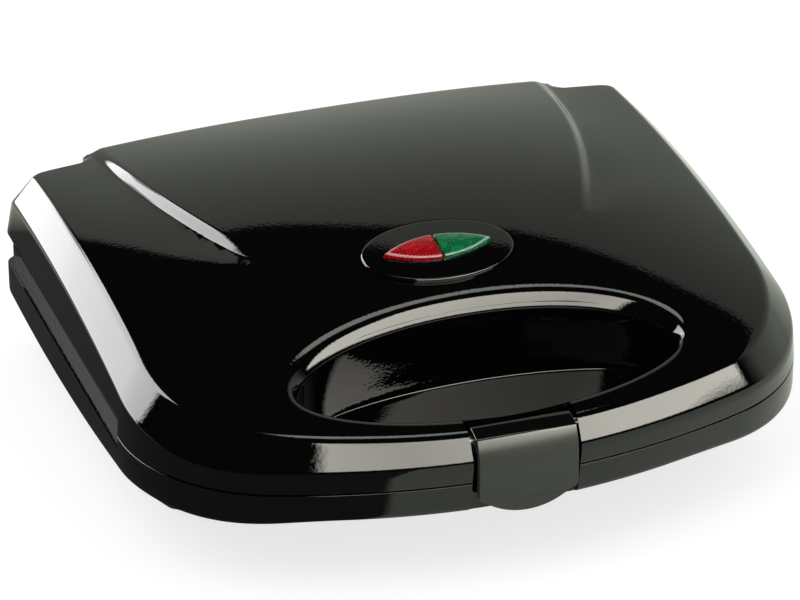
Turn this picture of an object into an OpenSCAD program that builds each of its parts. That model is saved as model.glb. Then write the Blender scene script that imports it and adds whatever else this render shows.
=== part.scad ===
// Two-slice sandwich toaster with a domed lid, drawn closed.
// The parting plane of lid and base is horizontal. X runs across, +Y to the hinge, +Z up.
// The origin is under the middle of the toaster, on the surface that it stands on.

/* [Housing outline] */
// Width across the side walls
body_w = 230; // [215:1:245]
// Distance from the plan datum to the frontmost point of the rim
front_reach = 124.5; // [120:0.5:130]
// Distance from the plan datum to the rear walls
rear_reach = 84.5; // [80:0.5:88]
// Radius of the bowed front edge
front_r = 222.5; // [200:0.5:260]
// Radius of the front corners
corner_r = 55.9; // [45:0.1:62]
// Radius of the rear corners
rear_corner_r = 5; // [3:0.5:7]
// Moulded wall thickness
wall = 2.6; // [2:0.1:3]
// Gap between lid and base at the parting plane
part_gap = 0.5; // [0.4:0.1:1]

/* [Lid dome] */
// Height of the dome above the parting plane
dome_h = 42.7; // [38:0.1:46]
// Place of the highest point, from the plan datum
dome_y = 11.3; // [0:0.1:25]
// Fall of the dome's middle line per square millimetre
dome_fall = 0.00164; // [0.0012:0.00001:0.0018]
// Height of the upper edge of the side chamfer at its highest point
brow_h = 31.1; // [30:0.1:33]
// Fall of that edge per square millimetre
brow_fall = 0.0009; // [0.0008:0.00001:0.001]
// Height of the lower edge of the side chamfer at its highest point
cheek_h = 22.3; // [21:0.1:24]
// Fall of the lower edge per square millimetre
cheek_fall = 0.00088; // [0.0008:0.00001:0.001]
// Place of the upper edge's highest point, from the plan datum
brow_y = 33; // [28:1:38]
// Place of the lower edge's highest point, from the plan datum
cheek_y = 38; // [33:1:43]
// Width of the chamfer, seen from above
chamfer_w = 8.9; // [7:0.1:11]
// Width of the sloped band along the lid's front, seen from above
band_w = 3.5; // [2.5:0.1:4.5]
// Height of the band's upper edge above the parting plane
band_top_h = 15.5; // [15:0.1:16.5]
// Height of its lower edge, the foremost line of the lid
beak_h = 7.4; // [6.8:0.1:8.5]
// How far that line stands in front of the plan outline
beak_proud = 1.3; // [0.8:0.1:1.6]
// Half width of the raised middle panel at the rear
panel_half_w = 79; // [70:1:84]
// Height of the raised middle panel above the wings at the rear
panel_step = 2; // [1:0.1:3]
// How far the wings' upper rear edges lie in front of the panel's
wing_back = 6; // [4:0.5:7]

/* [Base] */
// Depth of the base's wall at its deepest, below the parting plane
base_wall_h = 16.7; // [15:0.1:18]
// Depth of the base's rim at the front
base_rim_h = 8.5; // [7.5:0.1:9.5]
// Rise of the wall's lower edge per square millimetre
base_rise = 0.0007; // [0.0006:0.00001:0.0008]
// Place of the deepest point of the wall, from the plan datum
base_wall_y = 36; // [25:1:45]
// Depth of the base's floor below the parting plane
floor_depth = 34; // [32:0.5:38]
// Slope of the underside at the front
under_slope_front = 0.45; // [0.4:0.01:0.5]
// Slope of the underside at the sides
under_slope_side = 1.3; // [1.1:0.05:1.5]
// Diameter of a rubber foot
foot_d = 16; // [12:1:20]
// Height that a foot stands proud of the floor
foot_h = 4; // [3:0.5:6]
// Depth of the socket that a foot's stem sits in
foot_stem_h = 2; // [1.5:0.1:2.2]
// Diameter of a foot's stem
foot_stem_d = 6; // [4:0.5:8]
// Sideways place of the feet
foot_x = 74; // [60:1:80]
// Place of the front feet, from the plan datum
foot_front_y = -40; // [-50:1:-30]
// Place of the rear feet, from the plan datum
foot_rear_y = 60; // [50:1:64]

/* [Side recess] */
// How far the inner lips stand in from the outer walls
lip_inset = 3; // [2.5:0.1:3.5]
// Lower edge of the lid's outer wall above the parting plane
lid_skirt_gap = 6.4; // [5:0.1:7]
// Upper edge of the base's outer wall below the parting plane
base_skirt_gap = 4.9; // [4:0.1:6]
// Where the recess starts, from the plan datum
recess_front_y = -57; // [-60:0.5:-54]

/* [Grip recess] */
// Half length of the oval grip recess at its rim
grip_half_w = 69.5; // [60:0.5:72]
// Half depth of the oval at its rim
grip_half_d = 27.4; // [24:0.1:28]
// Centre of the oval, from the plan datum
grip_y = -87; // [-88:0.5:-86]
// Width of the rounded rim of the recess
grip_rim = 5; // [4:0.1:5.5]
// Depth of the rounded rim of the recess
grip_roll = 7; // [5:0.1:8]
// Height of the recess floor above the parting plane
grip_floor = 3; // [2.6:0.1:5]

/* [Plates] */
// Clearance between a plate and the bay that it lies in
bay_clear = 0.3; // [0.2:0.1:0.5]
// Front wall of the plate bay, from the plan datum
bay_front_y = -50.6; // [-52:0.1:-50]
// Distance from a plate's baking face to the parting plane
plate_gap = 0.5; // [0.4:0.1:1]
// Thickness of the cast plate
plate_t = 2.2; // [1.8:0.1:2.6]
// Corner radius of a plate
plate_r = 6; // [4:0.5:8]
// Depth of a sandwich pocket
pocket_h = 11; // [9:0.5:12]
// Margin between the plate's edge and its cells
cell_margin = 10.9; // [10.5:0.1:13]
// Half width of the web between the two cells
web_half_w = 6; // [5.5:0.1:8]
// Half width of the ridge that cuts a sandwich in two
ridge_half_w = 2.4; // [1.8:0.1:3]
// Corner radius of a pocket
pocket_r = 9; // [6:0.5:11]
// Diameter of the tubular heater
heater_d = 6; // [5:0.1:6.2]
// Sheet thickness of the reflector pan
pan_t = 0.8; // [0.5:0.1:1]
// Distance from the plate's edge to the pan's wall
pan_inset = 1.1; // [0.8:0.1:1.5]
// Clearance over the pockets inside the pan
pan_clear = 1.3; // [1:0.1:2]
// Half distance between the heater's two ends
heater_end_x = 14; // [12:0.5:18]
// Diameter of a plate screw
screw_d = 3; // [2.5:0.1:3.5]
// Diameter of a plate screw's head
screw_head_d = 6; // [5:0.1:6.4]
// Place of the front plate screws, from the plan datum
screw_front_y = -10; // [-14:1:0]
// Place of the rear plate screws, from the plan datum
screw_rear_y = 56; // [40:1:60]
// Diameter of the bosses that the plate screws go into
boss_d = 7; // [6.5:0.1:7.2]

/* [Indicator] */
// Half length of the oval bezel
bezel_half_w = 25.8; // [24:0.1:27]
// Half depth of the oval bezel
bezel_half_d = 16.8; // [16:0.1:17.5]
// Centre of the bezel, from the plan datum
bezel_y = -39.5; // [-40:0.1:-38]
// Half length of the pair of lenses
lens_half_w = 18.9; // [16:0.1:20]
// Half width of the pair of lenses
lens_half_d = 6.2; // [5:0.1:7]
// Depth of the bezel's dish
dish_depth = 1.4; // [1:0.1:1.8]
// Thickness of the bezel
bezel_t = 3; // [2.6:0.1:3.4]
// Gap between the red and the green lens
lens_gap = 0.4; // [0.3:0.1:0.6]
// Clearance between bezel, lenses and lid
trim_clear = 0.2; // [0.1:0.05:0.3]
// Diameter of an indicator lamp
lamp_d = 5; // [4:0.5:5]

/* [Latch] */
// Half width of the notch in lid and base
notch_half_w = 18.15; // [17:0.05:20]
// Width of the latch clip
clip_w = 33.5; // [30:0.5:34.5]
// How far the clip stands in front of the rim
clip_proud = 1.5; // [1.4:0.1:2.4]
// Thickness of the clip
clip_t = 2.4; // [2:0.1:2.8]
// Depth of the clip's face below the parting plane
clip_drop = 6.6; // [6.4:0.1:7.5]
// Depth of the notch in the lid
notch_d = 11.4; // [11:0.1:12]
// Height of the latch pin above the parting plane
latch_z = 12.2; // [11:0.1:13]
// Diameter of the latch pin
latch_pin_d = 3; // [2.5:0.1:3.5]
// Radius of the clip's eye round the pin
eye_r = 4.3; // [3.9:0.1:4.6]
// Running clearance of the clip against lid and base
clip_clear = 0.3; // [0.2:0.05:0.4]
// Height of the ledge on the base that the hook catches under
ledge_h = 4.3; // [3.5:0.1:4.6]
// Step from the rim back to the ledge's front
ledge_step = 2.8; // [2.4:0.1:3.2]
// Engagement of the hook behind the ledge's front
hook_grip = 2.6; // [2:0.1:3]
// Drop of the finger tab below the clip's face
tab_drop = 5.3; // [4:0.1:7]
// Half width of the finger tab where it leaves the face
tab_half_w = 14; // [10:0.5:15]

/* [Hinge] */
// Distance from the rear walls to the hinge axis
hinge_back = 5.5; // [5.2:0.1:7]
// Height of the hinge axis above the parting plane
hinge_z = 1; // [0:0.1:2]
// Radius of the hinge knuckles
knuckle_r = 4.2; // [3.8:0.1:4.5]
// Diameter of the hinge pins
hinge_pin_d = 3.2; // [2.8:0.1:3.6]
// Sideways place of a hinge's middle
hinge_x = 58; // [50:1:62]
// Length of the lid's knuckle
lid_knuckle_l = 12; // [10:0.5:16]
// Length of each base knuckle
base_knuckle_l = 6; // [5:0.5:8]
// Side play between neighbouring knuckles
knuckle_gap = 0.4; // [0.3:0.1:0.6]
// Radial clearance of every pin in its bore
pin_clear = 0.05; // [0.03:0.01:0.08]

/* [Wiring space] */
// Sideways place of the cord inlet in the rear wall
inlet_x = 34; // [28:1:40]
// Depth of the inlet's axis below the parting plane
inlet_depth = 20; // [19:0.5:22]
// Bore of the inlet's gland
inlet_bore_d = 6.8; // [6:0.1:8]
// Outer diameter of the gland
gland_d = 12; // [11:0.5:13]
// Length of the terminal block
block_l = 30; // [26:1:34]
// Width of the terminal block
block_w = 14; // [12:1:16]
// Height of the terminal block
block_h = 11; // [10:0.5:12]
// Distance between the wells of the terminal block
well_pitch = 9.5; // [8:0.5:10]
// Diameter of the thermostat
thermo_d = 16; // [14:0.5:18]
// Sideways place of the thermostat
thermo_x = -30; // [-40:1:-24]
// Diameter of the thermal fuse
fuse_d = 4; // [3:0.5:5]
// Length of the thermal fuse
fuse_l = 12; // [10:1:14]
// Sideways place of the thermal fuse
fuse_x = -60; // [-70:1:-58]

/* [Hidden] */
$fn = 48;

gloss_black = [0.05, 0.05, 0.06];
satin_black = [0.16, 0.16, 0.17];
coat_grey = [0.22, 0.22, 0.24];

// Frame: the plan datum is lifted to the parting plane and centred front to back
half_w = body_w / 2;
stand_h = floor_depth + foot_h;
front_y = -front_reach - max(clip_proud, beak_proud);
rear_y = rear_reach + hinge_back + knuckle_r;
shift_y = -(front_y + rear_y) / 2;

// Plan outline: bowed front, round front corners, straight sides and a straight rear
corner_x = half_w - corner_r;
front_c = front_r - front_reach;
corner_y = front_c - sqrt(pow(front_r - corner_r, 2) - pow(corner_x, 2));
corner_turn = asin(corner_x / (front_r - corner_r));
side_end = rear_reach - rear_corner_r;
rear_turn_x = half_w - rear_corner_r;
wing_start = panel_half_w + 4.5;
wing_run = 10;
front_n = 6;
corner_n = 9;
side_n = 7;
rear_n = 5;

function front_arc(a) = [front_r * sin(a), front_c - front_r * cos(a)];
function corner_arc(a) = [corner_x + corner_r * sin(a), corner_y - corner_r * cos(a)];
function side_part(p) = pow(clamp01((abs(p[0]) - corner_x) / corner_r), 2);
function rear_arc(a) = [rear_turn_x + rear_corner_r * cos(a), side_end + rear_corner_r * sin(a)];
half_outline = concat(
    [for (i = [0 : front_n - 1]) front_arc(corner_turn * i / front_n)],
    [for (i = [0 : corner_n - 1]) corner_arc(corner_turn + (90 - corner_turn) * i / corner_n)],
    [for (i = [0 : side_n]) [half_w, corner_y + (side_end - corner_y) * i / side_n]],
    [for (a = [30 : 30 : 90]) rear_arc(a)],
    [for (x = [wing_start + wing_run, wing_start, panel_half_w]) [x, rear_reach]],
    [for (i = [1 : rear_n]) [panel_half_w * (1 - i / rear_n), rear_reach]]);
half_count = len(half_outline);
outline = concat(half_outline,
    [for (i = [half_count - 2 : -1 : 1]) [-half_outline[i][0], half_outline[i][1]]]);
count = len(outline);

// The outline moved in by d at the front and sides, and by r at the rear
function inset(p, d, r) = [p[0] * (1 - d / half_w),
    rear_reach - r + (p[1] - rear_reach) * (1 - (d + r) / (front_reach + rear_reach))];

// Smooth larger value of two, blended over w
function soft_max(a, b, w) = (a + b + sqrt(pow(a - b, 2) + w * w)) / 2;
function soft_min(a, b, w) = -soft_max(-a, -b, w);
function clamp01(t) = min(1, max(0, t));
function ease(t) = clamp01(t) * clamp01(t) * (3 - 2 * clamp01(t));

// Heights of the lid: chamfer edges along the sides and the dome between them
crown_power = 2.4;
brow_x = half_w - chamfer_w;
function brow(y) = soft_max(brow_h - brow_fall * pow(y - brow_y, 2), band_top_h, 1.5);
function cheek(y) = soft_max(cheek_h - cheek_fall * pow(y - cheek_y, 2), beak_h, 1.5);
function spine(y) = dome_h - dome_fall * pow(y - dome_y, 2);
function dome(x, y) = brow(y)
    + max(0, spine(y) - brow(y)) * (1 - pow(min(1, abs(x) / brow_x), crown_power));

// Raised middle panel: its edge curves inward towards the front and its step fades out
panel_tip_y = -20;
panel_curve = 0.002;
function panel_edge(y) = panel_half_w - panel_curve * pow(rear_reach - y, 2);
function panel_fade(y) = clamp01((y - panel_tip_y) / (rear_reach - panel_tip_y));
function panel_slope_w(y) = 1 + 3 * panel_fade(y);
function panel_rise(x, y) = panel_step * panel_fade(y)
    * (0.35 - ease((abs(x) - panel_edge(y)) / panel_slope_w(y)));
function lid_top(x, y) = dome(x, y) + (y > panel_tip_y ? panel_rise(x, y) : 0);

// Heights of the base: lower edge of its wall and the slope of its underside
base_soft = 2;
function base_edge(y) = soft_max(base_wall_h - base_rise * pow(y - base_wall_y, 2),
    base_rim_h, base_soft);
function under_slope(p) = under_slope_front
    + (under_slope_side - under_slope_front) * pow(side_part(p), 4);

// Closed skin through rings of equal count, from the lowest ring to the highest
module loft(rings) {
    n = len(rings[0]);
    k = len(rings);
    mid_low = [for (a = [0 : 2]) mean([for (p = rings[0]) p[a]])];
    mid_high = [for (a = [0 : 2]) mean([for (p = rings[k - 1]) p[a]])];
    points = concat([for (ring = rings) each ring], [mid_low, mid_high]);
    polyhedron(points, concat(
        [for (j = [0 : k - 2], i = [0 : n - 1])
            each [[j * n + i, (j + 1) * n + i, (j + 1) * n + (i + 1) % n],
                [j * n + i, (j + 1) * n + (i + 1) % n, j * n + (i + 1) % n]]],
        [for (i = [0 : n - 1]) [i, (i + 1) % n, k * n]],
        [for (i = [0 : n - 1]) [(k - 1) * n + (i + 1) % n, (k - 1) * n + i, k * n + 1]]));
}
function mean(v) = v * [for (i = v) 1] / len(v);

// Places everything below from the plan frame into the toaster's own frame
module placed() {
    translate([0, shift_y, stand_h]) children();
}

// Mirrors a piece of the lid into the base
module flipped() {
    mirror([0, 0, 1]) children();
}

function flat_ring(d, r, z) = [for (p = outline) [each inset(p, d, r), z]];

// Lid: outer skin
lid_lip_h = lid_skirt_gap + wall;
wing_zone = 30;
function wing_cut(p) = wing_back * ease((abs(p[0]) - wing_start) / wing_run)
    * pow(clamp01((p[1] - rear_reach + wing_zone) / wing_zone), 2);
function lid_ring(d, r, share, drop) = [for (p = outline)
    let (q = inset(p, d, r), y = q[1] - share * wing_cut(p)) [q[0], y, lid_top(q[0], y) - drop]];
cheek_inset = 0.9;
function beak_d(p) = -beak_proud + (beak_proud + cheek_inset) * side_part(p);
function brow_d(p) = band_w + (chamfer_w - band_w) * side_part(p);
function band_ring(t) = [for (p = outline)
    let (q = inset(p, beak_d(p) + (brow_d(p) - beak_d(p)) * t, 0.8 * t),
        y = q[1] - wing_cut(p), low = cheek(q[1]), high = lid_top(q[0], y))
    [q[0], y, low + (high - low) * t]];
top_steps = [[14, 3], [24, 9], [37, 17], [50, 26], [64, 36], [78, 48], [92, 62], [104, 80]];
wall_part = 0.35;
wall_ring = [for (p = outline) let (q = inset(p, wall_part * beak_d(p), 0))
    [q[0], q[1], wall_part * cheek(q[1])]];
function lid_outer_rings() = concat(
    [flat_ring(0, 0, part_gap / 2)],
    [wall_ring],
    [band_ring(0)],
    [band_ring(1)],
    [for (s = top_steps) lid_ring(s[0], s[1], 1 - s[1] / 80, 0)]);
lip_ring = [for (p = outline) let (q = inset(p, wall, wall))
    [q[0], q[1] - 0.15 * wing_cut(p), lid_lip_h]];
function lid_inner_rings() = concat(
    [lip_ring],
    [band_inner_ring(0)],
    [band_inner_ring(1)],
    [for (i = [1 : 2 : len(top_steps) - 1])
        lid_ring(top_steps[i][0], top_steps[i][1], 1 - top_steps[i][1] / 80, wall + 0.6)]);
function band_inner_ring(t) = [for (p = outline)
    let (q = inset(p, wall + (t == 0 ? max(0.3, beak_d(p)) : brow_d(p)), wall + 0.8 * t),
        y = q[1] - wing_cut(p))
    [q[0], y, t == 0 ? max(lid_lip_h + 1, cheek(q[1]) - 1.5) : lid_top(q[0], y) - wall - 0.6]];

// Grip recess: an oval bowl cut into the front of the lid, with a rounded rim
grip_n = 56;
function oval(a, b, cy) = [for (i = [0 : grip_n - 1])
    let (t = 360 * i / grip_n) [a * cos(t), cy + b * sin(t)]];
function grip_level(grow, drop) = [for (p = oval(grip_half_w - grip_rim + grow,
    grip_half_d - grip_rim + grow, grip_y)) [p[0], p[1], lid_top(p[0], p[1]) - drop]];
function grip_flat(grow, z) = [for (p = oval(grip_half_w - grip_rim + grow,
    grip_half_d - grip_rim + grow, grip_y)) [p[0], p[1], z]];
function grip_rings() = [
    grip_flat(-5, grip_floor),
    grip_flat(-2.4, grip_floor + 1.2),
    grip_level(0, grip_roll),
    grip_level(0.1 * grip_rim, 0.56 * grip_roll),
    grip_level(0.3 * grip_rim, 0.28 * grip_roll),
    grip_level(0.6 * grip_rim, 0.08 * grip_roll),
    grip_level(grip_rim, 0),
    grip_level(grip_rim + 0.5, -3),
    grip_flat(grip_rim + 0.5, dome_h + 5)];
function grip_wall_rings() = [
    grip_flat(-2, part_gap / 2 + 0.2),
    grip_flat(wall - 0.6, grip_floor + 1.5),
    grip_level(wall, 3)];

// Plate bay
bay_rear_y = rear_reach - lip_inset - wall;
bay_half_w = half_w - lip_inset - wall;
plate_half_w = bay_half_w - bay_clear;
plate_front_y = bay_front_y + bay_clear;
plate_rear_y = bay_rear_y - bay_clear;
plate_mid_y = (plate_front_y + plate_rear_y) / 2;
plate_back = plate_gap + plate_t;
cell_x0 = web_half_w;
cell_x1 = plate_half_w - cell_margin;
cell_y0 = plate_front_y + cell_margin;
cell_y1 = plate_rear_y - cell_margin;
pan_half_w = plate_half_w - pan_inset;
pan_front_y = plate_front_y + pan_inset;
pan_rear_y = plate_rear_y - pan_inset;
bulge_top = plate_gap + pocket_h + plate_t;
pan_inner = bulge_top + pan_clear;
pan_outer = pan_inner + pan_t;

// Latch, notch and catch
notch_y = -front_reach + notch_d;
latch_y = notch_y - eye_r - clip_clear;
clip_face_y = -front_reach - clip_proud;
ledge_y = -front_reach + ledge_step;
hook_end_y = ledge_y + hook_grip;
catch_z = -part_gap / 2 - ledge_h;
hook_top = catch_z - clip_clear;
pin_seat = 2;

// Hinge
hinge_y = rear_reach + hinge_back;
knuckle_span = lid_knuckle_l + 2 * (base_knuckle_l + knuckle_gap);

// Indicator, tilted with the dome below it
bezel_tilt = atan(2 * dome_fall * (dome_y - bezel_y));
bezel_z = spine(bezel_y);

// The space inside one shell: the plate bay, and the hollow under the deck in front of it
module inside(depth) {
    difference() {
        linear_extrude(height = depth)
            polygon([for (p = outline) inset(p, lip_inset + wall, lip_inset + wall)]);
        block(-body_w, body_w, bay_front_y - wall, bay_front_y, -1, depth + 1);
        block(-body_w, body_w, -front_reach, bay_front_y, -1, part_gap / 2 + wall);
    }
}

module block(x0, x1, y0, y1, z0, z1) {
    translate([x0, y0, z0]) cube([x1 - x0, y1 - y0, z1 - z0]);
}

// Straight pin or bore along X, with its middle at the given place
module rod_x(d, l, x, y, z) {
    translate([x - l / 2, y, z]) rotate([0, 90, 0]) cylinder(d = d, h = l);
}

// The recess along each side, where the outer walls stop short of the parting plane
module side_recess(z0, z1) {
    for (s = [-1, 1])
        block(min(s * (half_w - lip_inset), s * (half_w + 5)),
            max(s * (half_w - lip_inset), s * (half_w + 5)),
            recess_front_y, rear_reach + 5, z0, z1);
}

// Blocks and bore of one hinge half, with the web that ties them to the rear wall
module knuckle(x, l, web_z0, web_z1) {
    rod_x(2 * knuckle_r, l, x, hinge_y, hinge_z);
    block(x - l / 2, x + l / 2, rear_reach - 0.5, hinge_y, web_z0, web_z1);
}

module hinge_bores(d) {
    for (s = [-1, 1])
        rod_x(d, knuckle_span + 10, s * hinge_x, hinge_y, hinge_z);
}

// Boss for a plate screw, from the back of the plate to the roof or floor
module boss(y, z1) {
    difference() {
        translate([0, y, plate_back]) cylinder(d = boss_d, h = z1 - plate_back);
        translate([0, y, plate_back - 1]) cylinder(d = screw_d, h = z1 - plate_back - 2);
    }
}

module lid_shell() {
    color(gloss_black) placed() {
        difference() {
            union() {
                difference() {
                    loft(lid_outer_rings());
                    loft(lid_inner_rings());
                    inside(lid_lip_h + 0.01);
                }
                loft(grip_wall_rings());
                block(-bay_half_w - 1, bay_half_w + 1, bay_front_y - wall, bay_front_y,
                    part_gap / 2 + wall, brow(bay_front_y) - 6);
                block(-notch_half_w - wall, notch_half_w + wall,
                    latch_y - 2.5, notch_y + wall, part_gap / 2, latch_z + 1);
            }
            loft(grip_rings());
            block(-notch_half_w, notch_half_w, -front_reach - 9, notch_y, -1, dome_h);
            side_recess(-1, lid_skirt_gap);
            bezel_seat();
            rod_x(latch_pin_d + 2 * pin_clear, 2 * (notch_half_w + pin_seat + clip_clear),
                0, latch_y, latch_z);
        }
        boss(screw_front_y, spine(screw_front_y) - 1.2);
        boss(screw_rear_y, spine(screw_rear_y) - 1.2);
        difference() {
            for (s = [-1, 1])
                knuckle(s * hinge_x, lid_knuckle_l, hinge_z, hinge_z + 8);
            hinge_bores(hinge_pin_d + 2 * pin_clear);
        }
    }
}

// Everything of the indicator is drawn in the plane that touches the dome there
module on_dome() {
    translate([0, bezel_y, bezel_z]) rotate([bezel_tilt, 0, 0]) children();
}

module oval_plate(a, b, z0, z1) {
    translate([0, 0, z0]) linear_extrude(height = z1 - z0) polygon(oval(a, b, 0));
}

bezel_sink = 2.2;
seat_ledge = 3;
module bezel_seat() {
    on_dome() {
        oval_plate(bezel_half_w + trim_clear, bezel_half_d + trim_clear, -bezel_sink, 9);
        oval_plate(bezel_half_w - seat_ledge, bezel_half_d - seat_ledge, -9, 1);
    }
}

// Lens outline: two arcs that meet in points left and right
lens_arc_n = 12;
function lens_outline(a, b) =
    let (r = (a * a + b * b) / (2 * b), turn = asin(a / r)) concat(
        [for (i = [0 : lens_arc_n]) let (t = -turn + 2 * turn * i / lens_arc_n)
            [r * sin(t), r * cos(t) - r + b]],
        [for (i = [1 : lens_arc_n - 1]) let (t = turn - 2 * turn * i / lens_arc_n)
            [r * sin(t), r - b - r * cos(t)]]);

module lens_prism(grow, z0, z1) {
    translate([0, 0, z0]) linear_extrude(height = z1 - z0)
        polygon(lens_outline(lens_half_w + grow * lens_half_w / lens_half_d, lens_half_d + grow));
}

function bezel_ring(grow, z) = [for (p = oval(bezel_half_w + grow, bezel_half_d + grow, 0))
    [p[0], p[1], z]];
module indicator_bezel() {
    color(gloss_black) placed() on_dome() difference() {
        union() {
            loft([bezel_ring(0, -bezel_sink), bezel_ring(0, bezel_t - bezel_sink - 0.4),
                bezel_ring(-0.4, bezel_t - bezel_sink), bezel_ring(-1.4, bezel_t - bezel_sink - 0.1),
                bezel_ring(-3.5, bezel_t - bezel_sink - 0.9),
                bezel_ring(-6.5, bezel_t - bezel_sink - dish_depth)]);
            oval_plate(bezel_half_w - seat_ledge - trim_clear, bezel_half_d - seat_ledge - trim_clear,
                -bezel_sink - 3, -bezel_sink + 0.5);
        }
        lens_prism(trim_clear, -9, 9);
    }
}

// One lens: a domed prism with a flange behind the bezel
lens_top = 1.6;
lens_base = -5.2;
module lens(side) {
    intersection() {
        union() {
            intersection() {
                lens_prism(0, lens_base, lens_top);
                translate([0, 0, lens_top - 130]) sphere(r = 130, $fn = 96);
            }
            lens_prism(1.2, lens_base - 1.2, lens_base);
        }
        block(side > 0 ? lens_gap / 2 : -40, side > 0 ? 40 : -lens_gap / 2, -20, 20, -20, 20);
    }
}

module red_lens() {
    color([0.75, 0.05, 0.05]) placed() on_dome() lens(-1);
}

module green_lens() {
    color([0.02, 0.5, 0.2]) placed() on_dome() lens(1);
}

// Neon lamps lie under the lenses in a small holder
lamp_x = 7;
lamp_l = 9;
lamp_z = lens_base - 1.2 - lamp_d / 2 - 0.2;
module lamp(side) {
    translate([side * lamp_x, 0, lamp_z]) rotate([90, 0, 0]) translate([0, 0, -lamp_l / 2])
        rotate_extrude() intersection() {
            union() {
                square([lamp_d / 2, lamp_l - lamp_d / 2]);
                translate([0, lamp_l - lamp_d / 2]) circle(d = lamp_d);
            }
            square([lamp_d, lamp_l + 1]);
        }
}

module red_lamp() {
    color([0.9, 0.5, 0.4]) placed() on_dome() lamp(-1);
}

module green_lamp() {
    color([0.5, 0.85, 0.6]) placed() on_dome() lamp(1);
}

holder_wall = 1.4;
module lamp_holder() {
    color([0.85, 0.85, 0.82]) placed() on_dome() difference() {
        block(-lens_half_w + 3, lens_half_w - 3, -lens_half_d, lens_half_d,
            lamp_z - lamp_d / 2 - holder_wall, lens_base - 1.2);
        block(-lens_half_w + 3 + holder_wall, -holder_wall / 2, -lens_half_d + holder_wall,
            lens_half_d - holder_wall, lamp_z - lamp_d / 2, lens_base);
        block(holder_wall / 2, lens_half_w - 3 - holder_wall, -lens_half_d + holder_wall,
            lens_half_d - holder_wall, lamp_z - lamp_d / 2, lens_base);
    }
}

// Base: outer skin, from the floor up to the rim
base_lip_h = base_skirt_gap + wall;
edge_drop = 0.6;
floor_soft = 1.5;
function base_ring(d, r) = [for (p = outline) let (q = inset(p, d, r))
    [q[0], q[1], -soft_min(floor_depth, base_edge(p[1]) + under_slope(p) * d
        + (d > 0 ? edge_drop : 0), floor_soft)]];
under_steps = [[60, 9], [54, 6.5], [46, 4.5], [38, 2.5], [26, 1], [14, 0.6], [6, 0.4], [1.2, 0.2]];
function base_outer_rings() = concat(
    [flat_ring(64, 9, -floor_depth)],
    [for (s = under_steps) base_ring(s[0], s[1])],
    [base_ring(0, 0)],
    [flat_ring(0, 0, -part_gap / 2)]);
function base_inner_ring(d, r) = [for (p = outline) let (q = inset(p, d + wall, r + wall))
    [q[0], q[1], -max(base_lip_h + 0.5, min(floor_depth - wall,
        base_edge(p[1]) + under_slope(p) * (d + 1) + edge_drop - wall))]];
function base_inner_rings() = concat(
    [flat_ring(64 + wall, 9 + wall, -floor_depth + wall)],
    [for (i = [1 : 2 : len(under_steps) - 1])
        base_inner_ring(under_steps[i][0], under_steps[i][1])],
    [flat_ring(wall + 1, wall, -base_lip_h)]);

vent_n = 7;
vent_pitch = 8;
vent_l = 26;
vent_w = 2.4;
vent_y = -14;
module vents() {
    for (i = [0 : vent_n - 1])
        translate([(i - (vent_n - 1) / 2) * vent_pitch, vent_y, -floor_depth - 1])
            linear_extrude(height = wall + 2) {
                square([vent_w, vent_l], center = true);
                for (s = [-1, 1]) translate([0, s * vent_l / 2]) circle(d = vent_w);
            }
}

foot_places = [[-foot_x, foot_front_y], [foot_x, foot_front_y], [foot_x, foot_rear_y],
    [-foot_x, foot_rear_y]];

module base_shell() {
    color(gloss_black) placed() {
        difference() {
            union() {
                difference() {
                    loft(base_outer_rings());
                    loft(base_inner_rings());
                    flipped() inside(base_lip_h + 0.01);
                }
                block(-bay_half_w - 1, bay_half_w + 1, bay_front_y - wall, bay_front_y,
                    -base_edge(bay_front_y) - 3, -part_gap / 2 - wall);
                block(-notch_half_w - wall, notch_half_w + wall,
                    -front_reach + clip_t, notch_y, -base_rim_h, -part_gap / 2);
            }
            block(-notch_half_w, notch_half_w, -front_reach - 9, ledge_y, -30, 1);
            block(-notch_half_w, notch_half_w, -front_reach - 9, hook_end_y + clip_clear,
                -30, catch_z);
            vents();
            side_recess(-base_skirt_gap, 1);
            for (f = foot_places)
                translate([f[0], f[1], -floor_depth - 1])
                    cylinder(d = foot_stem_d + 2 * pin_clear, h = foot_stem_h + 1);
            rod_y(gland_d + 2 * trim_clear, wall + 4, inlet_x, rear_reach - wall - 2, -inlet_depth);
        }
        flipped() boss(screw_front_y, floor_depth - 1.2);
        flipped() boss(screw_rear_y, floor_depth - 1.2);
        difference() {
            for (s = [-1, 1], k = [-1, 1])
                knuckle(s * hinge_x + k * (lid_knuckle_l / 2 + knuckle_gap + base_knuckle_l / 2),
                    base_knuckle_l, -base_skirt_gap - 8, -2);
            hinge_bores(hinge_pin_d + 2 * pin_clear);
        }
    }
}

module rod_y(d, l, x, y0, z) {
    translate([x, y0, z]) rotate([-90, 0, 0]) cylinder(d = d, h = l);
}

module foot(i) {
    color([0.1, 0.1, 0.1]) placed() translate([foot_places[i][0], foot_places[i][1], -stand_h]) {
        cylinder(d1 = foot_d - 2, d2 = foot_d, h = foot_h);
        translate([0, 0, foot_h - 0.01]) cylinder(d = foot_stem_d, h = foot_stem_h - 0.2);
    }
}

module foot_1() { foot(0); }
module foot_2() { foot(1); }
module foot_3() { foot(2); }
module foot_4() { foot(3); }

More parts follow.
